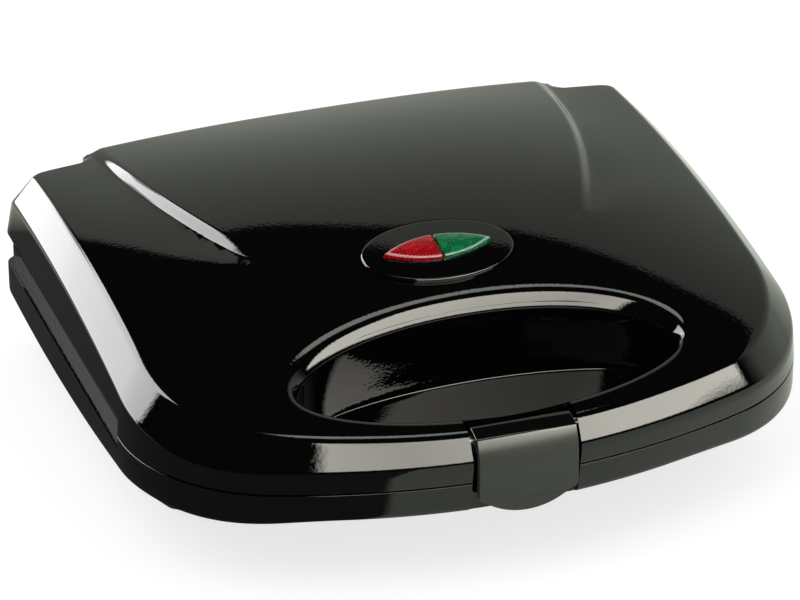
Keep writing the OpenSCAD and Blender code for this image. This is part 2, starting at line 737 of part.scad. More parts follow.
// Rounded triangle ring: each corner of the triangle becomes an arc of radius r
arc_n = 5;
function unit(v) = v / norm(v);
function corner_points(a, b, c, r) =
    let (u = unit(a - b), v = unit(c - b), half = acos(u * v) / 2,
        centre = b + unit(u + v) * (r / sin(half)),
        p = b + u * (r / tan(half)) - centre,
        q = b + v * (r / tan(half)) - centre,
        from = atan2(p[1], p[0]), to = atan2(q[1], q[0]),
        sweep = to - from > 180 ? to - from - 360 : to - from < -180 ? to - from + 360 : to - from)
    [for (i = [0 : arc_n]) centre + r * [cos(from + sweep * i / arc_n),
        sin(from + sweep * i / arc_n)]];
function tri_incentre(t) = let (a = norm(t[1] - t[2]), b = norm(t[2] - t[0]), c = norm(t[0] - t[1]))
    (a * t[0] + b * t[1] + c * t[2]) / (a + b + c);
function tri_inradius(t) = let (u = t[1] - t[0], v = t[2] - t[0])
    abs(u[0] * v[1] - u[1] * v[0]) / (norm(t[1] - t[2]) + norm(t[2] - t[0]) + norm(t[0] - t[1]));
function tri_ring(t, grow, r, z) =
    let (m = tri_incentre(t), k = 1 + grow / tri_inradius(t),
        s = [for (p = t) m + (p - m) * k])
    [for (p = concat(corner_points(s[2], s[0], s[1], r), corner_points(s[0], s[1], s[2], r),
        corner_points(s[1], s[2], s[0], r))) [p[0], p[1], z]];

// The two pockets of a cell lie on either side of its diagonal ridge
function pocket_tris(side) =
    let (x0 = side * cell_x0, x1 = side * cell_x1,
        along = unit([x1 - x0, cell_y1 - cell_y0]), off = ridge_half_w / abs(along[0]))
    [[[x0, cell_y0 + off], [x0, cell_y1],
        [x0 + (x1 - x0) * (1 - off / (cell_y1 - cell_y0)), cell_y1]],
    [[x1, cell_y1 - off], [x1, cell_y0],
        [x1 - (x1 - x0) * (1 - off / (cell_y1 - cell_y0)), cell_y0]]];
function turned(t) = let (u = t[1] - t[0], v = t[2] - t[0])
    u[0] * v[1] - u[1] * v[0] > 0 ? t : [t[0], t[2], t[1]];
all_tris = [for (side = [-1, 1]) each [for (t = pocket_tris(side)) turned(t)]];

// Depth profile of a pocket: share of the depth against the step in from its mouth
pocket_profile = [[0, -0.1], [0.8, 0.25], [2.2, 0.62], [5, 0.86], [10, 1]];
module pocket(t, grow, z0, shift) {
    loft([for (s = pocket_profile)
        tri_ring(t, grow - s[0], max(1.5, pocket_r + grow - s[0]), z0 + shift + s[1] * pocket_h)]);
}

module plate_blank() {
    translate([0, plate_mid_y, plate_gap]) linear_extrude(height = plate_t)
        rounded_rect(plate_half_w, (plate_rear_y - plate_front_y) / 2, plate_r);
}

module rounded_rect(a, b, r) {
    union() {
        square([2 * a - 2 * r, 2 * b], center = true);
        square([2 * a, 2 * b - 2 * r], center = true);
        for (i = [-1, 1], j = [-1, 1]) translate([i * (a - r), j * (b - r)]) circle(r = r);
    }
}

// Cast plate with four domed triangular pockets, drawn as the lid's one
screw_head_h = 1.6;
module plate() {
    difference() {
        union() {
            plate_blank();
            for (t = all_tris) pocket(t, plate_t, plate_gap, plate_t);
        }
        for (t = all_tris) pocket(t, 0, plate_gap, 0);
        for (y = [screw_front_y, screw_rear_y]) translate([0, y, 0]) {
            cylinder(d = screw_d + 0.4, h = 2 * plate_back);
            translate([0, 0, plate_gap - 0.01])
                cylinder(d1 = screw_head_d + 0.3, d2 = screw_d + 0.3, h = screw_head_h + 0.15);
        }
    }
}

module upper_plate() {
    color(coat_grey) placed() plate();
}

module lower_plate() {
    color(coat_grey) placed() flipped() plate();
}

// Tubular heater: a rounded loop on the plate's back, with two upright ends at the rear
heater_x = pan_half_w - pan_t - 0.4 - heater_d / 2;
heater_front = pan_front_y + pan_t + 0.4 + heater_d / 2;
heater_rear = pan_rear_y - pan_t - 0.4 - heater_d / 2;
heater_z = plate_back + heater_d / 2;
heater_r = 12;
heater_leg = 9;
heater_elbow = 5;
heater_lap = 0.1;
lug_w = 6.4;
lug_t = 0.8;
lug_h = 5;
module heater_bend(x, y, a) {
    translate([x, y, heater_z]) rotate([0, 0, a])
        rotate_extrude(angle = 90) translate([heater_r, 0]) circle(d = heater_d);
}

module heater() {
    x = heater_x - heater_r;
    rod_x(heater_d, 2 * x + heater_lap, 0, heater_front, heater_z);
    for (s = [-1, 1]) {
        rod_y(heater_d, heater_rear - heater_front - 2 * heater_r + heater_lap, s * heater_x,
            heater_front + heater_r - heater_lap / 2, heater_z);
        rod_x(heater_d, x - heater_end_x - heater_elbow + heater_lap,
            s * (x + heater_end_x + heater_elbow) / 2, heater_rear, heater_z);
        translate([s * (heater_end_x + heater_elbow), heater_rear, heater_z + heater_elbow])
            rotate([90, 0, 0]) rotate([0, 0, s > 0 ? 180 : 270])
                rotate_extrude(angle = 90) translate([heater_elbow, 0]) circle(d = heater_d);
        translate([s * heater_end_x, heater_rear, heater_z + heater_elbow - heater_lap / 2])
            cylinder(d = heater_d, h = heater_leg + heater_lap / 2);
        translate([s * heater_end_x - lug_w / 2, heater_rear - lug_t / 2,
                heater_z + heater_elbow + heater_leg - heater_lap])
            cube([lug_w, lug_t, lug_h]);
    }
    heater_bend(x, heater_rear - heater_r, 0);
    heater_bend(-x, heater_rear - heater_r, 90);
    heater_bend(-x, heater_front + heater_r, 180);
    heater_bend(x, heater_front + heater_r, 270);
}

module upper_heater() {
    color([0.55, 0.55, 0.55]) placed() heater();
}

module lower_heater() {
    color([0.55, 0.55, 0.55]) placed() flipped() heater();
}

// Reflector pan: a folded sheet tray that stands on the back of the plate over the heater
module pan_outline(inset_by) {
    rounded_rect(pan_half_w - inset_by, (pan_rear_y - pan_front_y) / 2 - inset_by,
        heater_r + heater_d / 2 + pan_t + 0.4 - inset_by);
}

module pan() {
    pan_y = (pan_front_y + pan_rear_y) / 2;
    difference() {
        translate([0, pan_y, plate_back])
            linear_extrude(height = pan_outer - plate_back) pan_outline(0);
        translate([0, pan_y, plate_back - 1])
            linear_extrude(height = pan_inner - plate_back + 1) pan_outline(pan_t);
        for (y = [screw_front_y, screw_rear_y])
            translate([0, y, pan_inner - 1]) cylinder(d = boss_d + 0.6, h = 3 * pan_t + 1);
        for (s = [-1, 1])
            translate([s * heater_end_x, heater_rear, pan_inner - 1])
                cylinder(d = heater_d + 1, h = 3 * pan_t + 1);
    }
}

module upper_reflector() {
    color([0.8, 0.8, 0.8]) placed() pan();
}

module lower_reflector() {
    color([0.8, 0.8, 0.8]) placed() flipped() pan();
}

// Countersunk screw through the plate into its boss
screw_l = 10;
module plate_screw(y) {
    translate([0, y, plate_gap]) {
        difference() {
            cylinder(d1 = screw_head_d, d2 = screw_d, h = screw_head_h);
            block(-screw_head_d, screw_head_d, -0.4, 0.4, -1, 0.7);
        }
        cylinder(d = screw_d - 2 * pin_clear, h = screw_l);
    }
}

module upper_screw_front() { color("silver") placed() plate_screw(screw_front_y); }
module upper_screw_rear() { color("silver") placed() plate_screw(screw_rear_y); }
module lower_screw_front() { color("silver") placed() flipped() plate_screw(screw_front_y); }
module lower_screw_rear() { color("silver") placed() flipped() plate_screw(screw_rear_y); }

// Hinge pins, with a round head at the outer end
module hinge_pin(s) {
    color("silver") placed() {
        rod_x(hinge_pin_d, knuckle_span + 2, s * hinge_x, hinge_y, hinge_z);
        rod_x(hinge_pin_d + 2, 1.2, s * (hinge_x + knuckle_span / 2 + 1.2), hinge_y, hinge_z);
    }
}

module hinge_pin_left() { hinge_pin(-1); }
module hinge_pin_right() { hinge_pin(1); }

// Cord inlet: a gland through the rear wall, with a clamp inside
gland_flange_d = gland_d + 4;
module cord_gland() {
    color(satin_black) placed() difference() {
        union() {
            rod_y(gland_d, wall + 3.5, inlet_x, rear_reach - wall - 1.5, -inlet_depth);
            rod_y(gland_flange_d, 1.6, inlet_x, rear_reach + 0.2, -inlet_depth);
        }
        rod_y(inlet_bore_d, 20, inlet_x, rear_reach - 12, -inlet_depth);
    }
}

floor_z = -floor_depth + wall;
clamp_half_w = 11;
clamp_back = 22.5;
clamp_depth = 8;
clamp_h = 6;
clamp_screw_x = clamp_half_w - 3.5;
module cord_clamp() {
    color(satin_black) placed() translate([inlet_x, rear_reach - clamp_back, floor_z])
        difference() {
            block(-clamp_half_w, clamp_half_w, -clamp_depth / 2, clamp_depth / 2, 0, clamp_h);
            for (s = [-1, 1]) translate([s * clamp_screw_x, 0, 1]) cylinder(d = screw_d, h = clamp_h);
            rod_y(inlet_bore_d, clamp_depth + 2, 0, -clamp_depth / 2 - 1, clamp_h + 1.5);
        }
}

module clamp_screw(s) {
    color("silver") placed()
        translate([inlet_x + s * clamp_screw_x, rear_reach - clamp_back, floor_z + 2]) {
            cylinder(d = screw_d - 2 * pin_clear, h = clamp_h - 2);
            translate([0, 0, clamp_h - 2]) cylinder(d = 5.4, h = 1.8);
        }
}

module clamp_screw_left() { clamp_screw(-1); }
module clamp_screw_right() { clamp_screw(1); }

// Terminal block on the floor, with three screw wells
block_back = 46.5;
well_d = 4.2;
wire_d = 3;
module terminal_block() {
    color([0.9, 0.9, 0.85]) placed() translate([inlet_x, rear_reach - block_back, floor_z])
        difference() {
            block(-block_l / 2, block_l / 2, -block_w / 2, block_w / 2, 0, block_h);
            for (i = [-1 : 1]) translate([i * well_pitch, 0, 0]) {
                translate([0, 0, wire_d + 2]) cylinder(d = well_d, h = block_h);
                rod_y(wire_d, block_w + 2, 0, -block_w / 2 - 1, wire_d / 2 + 2.5);
            }
        }
}

// Snap-disc thermostat against the lower pan, and the thermal fuse beside it
thermo_cup_h = 4;
thermo_body_h = 5;
blade_x = 3.5;
blade_w = 6;
blade_t = 1;
blade_h = 3;
module thermostat() {
    color([0.75, 0.72, 0.65]) placed() translate([thermo_x, plate_mid_y, -pan_outer]) flipped() {
        cylinder(d = thermo_d, h = thermo_cup_h);
        cylinder(d = thermo_d - 4, h = thermo_cup_h + thermo_body_h);
        for (s = [-1, 1]) translate([s * blade_x - blade_t / 2, -blade_w / 2, thermo_cup_h])
            cube([blade_t, blade_w, thermo_body_h + blade_h]);
    }
}

fuse_lead_d = 1.2;
fuse_lead_l = 7;
fuse_strap_t = 0.6;
fuse_strap_w = 5;
module thermal_fuse() {
    fuse_z = fuse_strap_t + fuse_d / 2 - 0.2;
    color([0.85, 0.8, 0.6]) placed() translate([fuse_x, plate_mid_y, -pan_outer]) flipped() {
        rod_x(fuse_d, fuse_l, 0, 0, fuse_z);
        rod_x(fuse_lead_d, fuse_l + 2 * fuse_lead_l, 0, 0, fuse_z);
        block(-fuse_strap_w / 2, fuse_strap_w / 2, -fuse_d, fuse_d, 0, fuse_strap_t);
    }
}

// Pin that the clip turns on, across the notch
module latch_pin() {
    color("silver") placed()
        rod_x(latch_pin_d, 2 * (notch_half_w + pin_seat), 0, latch_y, latch_z);
}

// Latch clip: an eye round the pin, a top, a face with a finger tab and a hook below the rim
clip_top = latch_z + eye_r;
clip_fold = 2.2;
clip_corner_r = 2.5;
clip_half_w = clip_w / 2;
tab_r = (tab_half_w * tab_half_w + tab_drop * tab_drop) / (2 * tab_drop);
module clip_side() {
    translate([latch_y, latch_z]) circle(r = eye_r);
    translate([clip_face_y + clip_fold, clip_top - clip_t])
        square([latch_y - clip_face_y - clip_fold, clip_t]);
    intersection() {
        translate([clip_face_y + clip_fold, clip_top - clip_fold]) circle(r = clip_fold);
        translate([clip_face_y, clip_top - clip_fold]) square(clip_fold);
    }
}

module clip_front() {
    translate([-clip_half_w, -clip_drop + clip_corner_r])
        square([clip_w, clip_drop - clip_corner_r + clip_top - clip_fold]);
    translate([-clip_half_w + clip_corner_r, -clip_drop])
        square([clip_w - 2 * clip_corner_r, clip_corner_r]);
    for (s = [-1, 1])
        translate([s * (clip_half_w - clip_corner_r), -clip_drop + clip_corner_r])
            circle(r = clip_corner_r);
    intersection() {
        translate([0, tab_r - tab_drop - clip_drop]) circle(r = tab_r);
        translate([-tab_half_w, -clip_drop - tab_drop])
            square([2 * tab_half_w, tab_drop + clip_corner_r]);
    }
}

module latch_clip() {
    color(satin_black) placed() difference() {
        union() {
            rotate([90, 0, 90]) translate([0, 0, -clip_half_w])
                linear_extrude(height = clip_w) clip_side();
            translate([0, clip_face_y + clip_t, 0]) rotate([90, 0, 0])
                linear_extrude(height = clip_t) clip_front();
            block(-clip_half_w + clip_corner_r, clip_half_w - clip_corner_r,
                clip_face_y + clip_t / 2, hook_end_y, -clip_drop, hook_top);
        }
        rod_x(latch_pin_d + 2 * pin_clear, clip_w + 2, 0, latch_y, latch_z);
    }
}

base_shell();
lower_plate();
lower_heater();
lower_reflector();
lower_screw_front();
lower_screw_rear();
foot_1();
foot_2();
foot_3();
foot_4();
cord_gland();
cord_clamp();
clamp_screw_left();
clamp_screw_right();
terminal_block();
thermostat();
thermal_fuse();
hinge_pin_left();
hinge_pin_right();
lid_shell();
upper_plate();
upper_heater();
upper_reflector();
upper_screw_front();
upper_screw_rear();
indicator_bezel();
red_lens();
green_lens();
red_lamp();
green_lamp();
lamp_holder();
latch_pin();
latch_clip();
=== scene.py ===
"""Dresses the CAD model of a two-slice sandwich toaster with smooth shells, lenses and finishes."""

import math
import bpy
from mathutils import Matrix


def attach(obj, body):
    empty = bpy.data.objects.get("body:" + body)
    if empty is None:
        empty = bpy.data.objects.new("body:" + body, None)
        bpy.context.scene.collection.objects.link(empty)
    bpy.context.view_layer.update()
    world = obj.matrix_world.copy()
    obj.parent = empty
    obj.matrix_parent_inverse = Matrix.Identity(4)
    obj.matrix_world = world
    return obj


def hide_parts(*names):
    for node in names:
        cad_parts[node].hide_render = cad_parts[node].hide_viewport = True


bl_info = {
    "name": "Sandwich toaster",
    "version": (1, 0, 0),
    "blender": (4, 5, 0),
    "location": "3D View > Sidebar > Toaster",
    "description": "Builds the shells, plates, lights and latch of a sandwich toaster over its CAD model",
    "category": "Object",
}

import bmesh
import bpy
from bpy.props import FloatProperty, FloatVectorProperty, PointerProperty
from mathutils import Matrix, Vector

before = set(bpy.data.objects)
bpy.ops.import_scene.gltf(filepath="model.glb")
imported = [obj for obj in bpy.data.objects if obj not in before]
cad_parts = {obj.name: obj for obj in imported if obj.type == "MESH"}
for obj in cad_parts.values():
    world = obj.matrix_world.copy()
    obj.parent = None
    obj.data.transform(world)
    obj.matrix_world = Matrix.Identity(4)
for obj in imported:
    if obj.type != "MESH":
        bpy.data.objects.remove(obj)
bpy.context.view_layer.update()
MM = 0.001


# Sizes and colours that a user would change


def length(name, description, default):
    """A length property in metres."""
    return FloatProperty(name=name, description=description, default=default, min=0.0, unit="LENGTH")


def colour(name, description, default):
    """A colour property."""
    return FloatVectorProperty(
        name=name, description=description, default=default, size=3, min=0.0, max=1.0, subtype="COLOR"
    )


class ToasterHousing(bpy.types.PropertyGroup):
    """Sizes of the lid and the base."""

    width: length("Width", "Across the side walls", 0.230)
    front_reach: length("Front reach", "From the plan datum to the rim at the front", 0.1245)
    rear_reach: length("Rear reach", "From the plan datum to the rear walls", 0.0845)
    front_radius: length("Front radius", "Radius of the bowed front edge", 0.2225)
    corner_radius: length("Corner radius", "Radius of the front corners", 0.0559)
    wall: length("Wall", "Moulded wall thickness", 0.0026)
    parting_gap: length("Parting gap", "Gap between lid and base", 0.0005)
    dome_height: length("Dome height", "Dome above the parting plane", 0.0427)
    side_brow: length("Side brow", "Upper edge of the side chamfer above the parting plane", 0.0311)
    side_cheek: length("Side cheek", "Lower edge of the side chamfer above the parting plane", 0.0223)
    chamfer: length("Chamfer", "Width of the side chamfer, seen from above", 0.0089)
    panel_half: length("Panel half width", "Half width of the raised panel at the rear", 0.079)
    panel_step: length("Panel step", "Height of the raised panel above the wings", 0.0019)


class ToasterFittings(bpy.types.PropertyGroup):
    """Sizes of the grip, the lights and the latch."""

    grip_half_width: length("Grip half width", "Half length of the oval grip recess", 0.0695)
    grip_half_depth: length("Grip half depth", "Half depth of the oval grip recess", 0.0281)
    bezel_half_width: length("Bezel half width", "Half length of the oval bezel", 0.0258)
    bezel_half_depth: length("Bezel half depth", "Half depth of the oval bezel", 0.0168)
    lens_half_width: length("Lens half width", "Half length of the pair of lenses", 0.0189)
    lens_half_depth: length("Lens half depth", "Half width of the pair of lenses", 0.0062)
    clip_width: length("Clip width", "Width of the latch clip", 0.0335)
    clip_thickness: length("Clip thickness", "Thickness of the latch clip", 0.0024)


class ToasterColours(bpy.types.PropertyGroup):
    """Colours of the visible finishes."""

    housing: colour("Housing", "Gloss black plastic", (0.0014, 0.0015, 0.0014))
    clip: colour("Clip", "Satin black plastic", (0.022, 0.0245, 0.0195))
    coating: colour("Coating", "Non-stick coating of the plates", (0.030, 0.030, 0.032))
    red: colour("Red lens", "Clear red plastic", (0.36, 0.002, 0.005))
    green: colour("Green lens", "Clear green plastic", (0.0008, 0.14, 0.045))
    floor: colour("Floor", "Pale floor", (0.86, 0.86, 0.86))


# The toaster's places and curves, in millimetres from the plan datum at the parting plane

SPINE_BEND, SPINE_CREST = 0.00164, 11.3  # the arc of the lid's middle line
RUNOUT_Y, RUNOUT_SLOPE = -92.0, 0.339  # where that line goes straight on to the front
DOME_SQUARENESS = 2.4
PANEL_START = -28.0  # where the raised panel's edge begins
UNDERSIDE = -34.0
SCREW_YS = (-10, 56)  # plate screws, on the middle line
FEET = ((-74, -40), (74, -40), (74, 60), (-74, 60))
PLATE_HALF, PLATE_FRONT, PLATE_REAR = 109.1, -50.3, 78.6
BAY_HALF = 110.4
HINGE_X, HINGE_BACK, HINGE_UP = 58, 5.5, 1.0  # hinge axis behind the rear wall and above the parting
RECESS_FRONT = -57  # front end of the recess along each side
NOTCH_HALF, NOTCH_FRONT = 18.15, -133.5  # the clip's notch
LATCH_Y, LATCH_Z, EYE_R = -117.7, 12.2, 4.3  # the latch pin's axis and the clip's eye round it
LATCH_BORE_R = 1.55
CLIP_FACE_Y = -126.0
GRIP_Y, GRIP_SLOPE = -88.2, 0.2257  # middle of the grip's oval, and the dome's slope at its rear rim
RIM_BENDS = ((2.5, 18, 29), (1.9, 29, 51), (4.1, 51, 67), (1.5, 67, 90))  # run, first and last tilt
BEZEL_Y, BEZEL_STEP, BEZEL_CLEARANCE = -39.5, 3.2, 0.2
REAR_STOPS = [  # places across the rear edge, close together where the wings step back
    108, 105, 102, 99, 96.5, 94.5, 93, 91.5, 90, 88.5, 87, 86, 85, 84, 83, 82, 80.5, 79,
    77, 74, 70, 64, 57, 49, 41, 33, 25, 17, 8, 0,
]


def soft_max(a, b, width):
    """The larger of two numbers, with a rounded change from one to the other."""
    return (a + b + math.sqrt((a - b) ** 2 + width * width)) / 2


def arch(y, height, bend, middle, low, softness):
    """An arc along the side that runs out level at its low end."""
    return soft_max(height - bend * (y - middle) ** 2, low, softness)


def clamp01(t):
    return min(1.0, max(0.0, t))


def ease(t):
    """A smooth step from 0 to 1."""
    t = clamp01(t)
    return t * t * (3 - 2 * t)


class Form:
    """Works out the outline, the lid's heights and the base's heights."""

    def __init__(self, sizes):
        self.shift = 15.9
        self.stand = 38.0
        self.half_w = sizes.width / MM / 2
        self.front = sizes.front_reach / MM
        self.rear = sizes.rear_reach / MM
        self.front_r = sizes.front_radius / MM
        self.corner_r = sizes.corner_radius / MM
        self.rear_r = 5.0
        self.wall = sizes.wall / MM
        self.gap = sizes.parting_gap / MM
        self.dome_h = sizes.dome_height / MM
        self.brow_h = sizes.side_brow / MM
        self.cheek_h = sizes.side_cheek / MM
        self.chamfer = sizes.chamfer / MM
        self.panel = sizes.panel_half / MM
        self.step = sizes.panel_step / MM
        self.corner_x = self.half_w - self.corner_r
        self.front_c = self.front_r - self.front
        self.corner_y = self.front_c - math.sqrt((self.front_r - self.corner_r) ** 2 - self.corner_x**2)
        self.turn = math.asin(self.corner_x / (self.front_r - self.corner_r))
        self.lip_inset = 3.0
        self.bay_front = -50.6

    def outline(self, front_n, corner_n, side_n, rear_xs):
        """Plan outline, from the middle of the front round by the right side."""
        half = []
        for i in range(front_n):
            a = self.turn * i / front_n
            half.append((self.front_r * math.sin(a), self.front_c - self.front_r * math.cos(a)))
        for i in range(corner_n):
            a = self.turn + (math.pi / 2 - self.turn) * i / corner_n
            x = self.corner_x + self.corner_r * math.sin(a)
            half.append((x, self.corner_y - self.corner_r * math.cos(a)))
        side_end = self.rear - self.rear_r
        for i in range(side_n + 1):
            half.append((self.half_w, self.corner_y + (side_end - self.corner_y) * i / side_n))
        for k in range(1, 7):
            a = math.pi / 2 * k / 6
            x = self.half_w - self.rear_r + self.rear_r * math.cos(a)
            half.append((x, side_end + self.rear_r * math.sin(a)))
        half += [(x, self.rear) for x in rear_xs]
        return half + [(-x, y) for x, y in half[-2:0:-1]]

    def inset(self, p, d, r):
        """A point of the outline moved in by d at the sides and front, and by r at the rear."""
        share = 1 - (d + r) / (self.front + self.rear)
        return p[0] * (1 - d / self.half_w), self.rear - r + (p[1] - self.rear) * share

    def side_part(self, p):
        """0 along the front and 1 along the sides."""
        return clamp01((abs(p[0]) - self.corner_x) / self.corner_r) ** 2

    def brow(self, y):
        """Upper edge of the side chamfer."""
        return arch(y, self.brow_h, bend=0.0009, middle=33, low=15.5, softness=1.5)

    def cheek(self, y):
        """Lower edge of the side chamfer."""
        return arch(y, self.cheek_h, bend=0.00088, middle=38, low=7.4, softness=1.5)

    def spine(self, y):
        """Height of the lid's middle line: an arc that runs out straight towards the front."""
        arc = self.dome_h - SPINE_BEND * (max(y, RUNOUT_Y) - SPINE_CREST) ** 2
        return arc - RUNOUT_SLOPE * max(0.0, RUNOUT_Y - y)

    def dome(self, x, y):
        """Height of the lid without its raised panel."""
        brow = self.brow(y)
        across = min(1.0, abs(x) / (self.half_w - self.chamfer)) ** DOME_SQUARENESS
        return brow + soft_max(0.0, self.spine(y) - brow, 1.0) * (1 - across)

    def panel_edge(self, y):
        """Half width of the raised panel, which bows in towards the front."""
        return self.panel - 0.002 * (self.rear - y) ** 2

    def slope_width(self, y):
        """Width of the panel's sloped edge."""
        return 4.4 + 1.0 * ease((y - 62) / 22)

    def rise(self, y):
        """Height of the panel's sloped edge, which fades in from the front."""
        t = clamp01((y - PANEL_START) / 32)
        return self.step * t * (2 - t) * (1 - 0.35 * ease((y - 50) / 34))

    def spread(self, away, y):
        """Share of the edge's height that is left at a distance from it."""
        return math.exp(-max(0.0, away) / (3 + 0.6 * max(0.0, y - PANEL_START)))

    def groove(self, x, y):
        """How far the wing lies below the dome, beside the panel's edge."""
        start = self.panel_edge(y) + self.slope_width(y)
        q = clamp01((abs(x) - start) / (self.half_w - self.chamfer - start))
        return 0.75 * self.rise(y) * self.spread(abs(x) - start, y) * (1 - q * q)

    def wing(self, x, y):
        """Height of the lid beside the raised panel."""
        return self.dome(x, y) - self.groove(x, y) * ease((abs(x) - self.panel_edge(y) + 12) / 10)

    def under_panel(self, x, y):
        """Height of the shell under the panel's slab, where it sinks out of the way."""
        sink = 1.6 * ease((y + 27.5) / 12) * ease((self.panel_edge(y) - 1.0 - abs(x)) / 4)
        return self.wing(x, y) - sink

    def panel_top(self, x, y):
        """Height of the raised panel and of the slope round it."""
        edge = self.panel_edge(y)
        fall = ease((abs(x) - edge) / self.slope_width(y))
        high = self.dome(x, y) + 0.25 * self.rise(y) * self.spread(edge - abs(x), y) + 0.01
        low = self.dome(x, y) - self.groove(x, y)
        return high + (low - high) * fall

    def wing_cut(self, p):
        """How far the wings' rear walls lie in front of the panel's."""
        start = self.panel + 4.5
        return 7.5 * ease((abs(p[0]) - start) / 12) * clamp01((p[1] - self.rear + 30) / 30) ** 2

    def base_edge(self, y):
        """Depth of the base's lower edge under the parting plane."""
        return arch(y, 16.7, bend=0.0007, middle=36, low=8.5, softness=2.0)

    def under_slope(self, p):
        """How steeply the base's underside falls from that edge."""
        return 0.45 + 0.85 * self.side_part(p) ** 4

    def world(self, p):
        """A point of the plan frame as a place in Blender, in metres."""
        return Vector((p[0] * MM, (p[1] + self.shift) * MM, (p[2] + self.stand) * MM))


def rounded(corners, radii, steps):
    """A polyline through the corners, each inner one rounded with so many steps."""
    out = [corners[0]]
    for k in range(1, len(corners) - 1):
        here = Vector(corners[k])
        a = Vector(corners[k - 1]) - here
        b = Vector(corners[k + 1]) - here
        cut = min(radii[k - 1], a.length * 0.45, b.length * 0.45)
        start = here + a.normalized() * cut
        end = here + b.normalized() * cut
        for i in range(steps + 1):
            t = i / steps
            out.append(tuple(start * (1 - t) ** 2 + here * 2 * t * (1 - t) + end * t * t))
    out.append(corners[-1])
    return out


# Modelling steps


def deselect():
    if bpy.context.object and bpy.context.object.mode != "OBJECT":
        bpy.ops.object.mode_set(mode="OBJECT")
    bpy.ops.object.select_all(action="DESELECT")


def pick(piece):
    """Selects one piece alone."""
    deselect()
    bpy.context.view_layer.objects.active = piece
    piece.select_set(True)


def named(name):
    """Names the object that was just added, and its mesh."""
    piece = bpy.context.active_object
    piece.name = name
    piece.data.name = name
    return piece


def settle(piece):
    """Puts the piece's place into its mesh."""
    pick(piece)
    bpy.ops.object.transform_apply(location=True, rotation=True, scale=True)
    return piece


def modify(piece, kind, **settings):
    """Adds a modifier with these settings and applies it."""
    pick(piece)
    modifier = piece.modifiers.new(kind.lower(), kind)
    for key, value in settings.items():
        setattr(modifier, key, value)
    bpy.ops.object.modifier_apply(modifier=modifier.name)
    return piece


def spot(place):
    """A place as a key that its vertex can be found by."""
    return Vector(place).to_tuple(7)


def lay(piece, places):
    """Moves the selected vertices, which lie on the keys of places, to its values."""
    work = bmesh.from_edit_mesh(piece.data)
    for vert in work.verts:
        if vert.select:
            vert.co = places[spot(vert.co)]
    bmesh.update_edit_mesh(piece.data)


def loft(name, rings):
    """Adds a circle, extrudes it once for each further ring and lays it on that ring."""
    deselect()
    bpy.ops.mesh.primitive_circle_add(vertices=len(rings[0]), radius=1.0, fill_type="NGON")
    piece = named(name)
    bpy.ops.object.mode_set(mode="EDIT")
    bpy.ops.mesh.select_mode(type="FACE")
    bpy.ops.mesh.select_all(action="SELECT")
    lay(piece, {spot(vert.co): place for vert, place in zip(piece.data.vertices, rings[0])})
    for before, after in zip(rings, rings[1:]):
        bpy.ops.mesh.extrude_region_move()
        lay(piece, {spot(old): new for old, new in zip(before, after)})
    bpy.ops.mesh.select_all(action="SELECT")
    bpy.ops.mesh.normals_make_consistent(inside=False)
    bpy.ops.object.mode_set(mode="OBJECT")
    return piece


def block(form, x0, x1, y0, y1, z0, z1):
    """A box between two corners of the plan frame."""
    deselect()
    low = form.world((min(x0, x1), y0, z0))
    high = form.world((max(x0, x1), y1, z1))
    bpy.ops.mesh.primitive_cube_add(size=1, location=(low + high) / 2, scale=high - low)
    return settle(named("block"))


def rod(form, axis, radius, start, span, sides=64):
    """A round bar along X, Y or Z from its start point."""
    deselect()
    a = form.world(start)
    step = {"X": Vector((1, 0, 0)), "Y": Vector((0, 1, 0)), "Z": Vector((0, 0, 1))}[axis] * span * MM
    turn = {"X": (0, math.pi / 2, 0), "Y": (math.pi / 2, 0, 0), "Z": (0, 0, 0)}[axis]
    bpy.ops.mesh.primitive_cylinder_add(
        vertices=sides, radius=radius * MM, depth=abs(span) * MM, location=a + step / 2, rotation=turn
    )
    return settle(named("rod"))


def combine(piece, others, operation):
    """Cuts or joins the other solids with the piece, and removes them."""
    for other in others:
        modify(piece, "BOOLEAN", operation=operation, solver="MANIFOLD", object=other)
        bpy.data.objects.remove(other)
    return piece


def cut(piece, *others):
    return combine(piece, others, "DIFFERENCE")


def add(piece, *others):
    return combine(piece, others, "UNION")


def smooth(piece, angle=32):
    """Shades the piece smooth, with sharp edges past that angle."""
    pick(piece)
    bpy.ops.object.shade_smooth_by_angle(angle=math.radians(angle))
    return piece


def bevel_edges(piece, width, segments, angle=40):
    """Rounds the piece's edges that are sharper than that angle."""
    limit = math.radians(angle)
    return modify(
        piece, "BEVEL", width=width * MM, segments=segments, limit_method="ANGLE", angle_limit=limit
    )


def dress(piece, body, materials, *nodes):
    """Gives a finished piece its materials and body, and hides the CAD nodes that it stands for."""
    piece.data.materials.clear()
    for material in materials:
        piece.data.materials.append(material)
    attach(piece, body)
    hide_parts(*nodes)
    return piece


# Materials


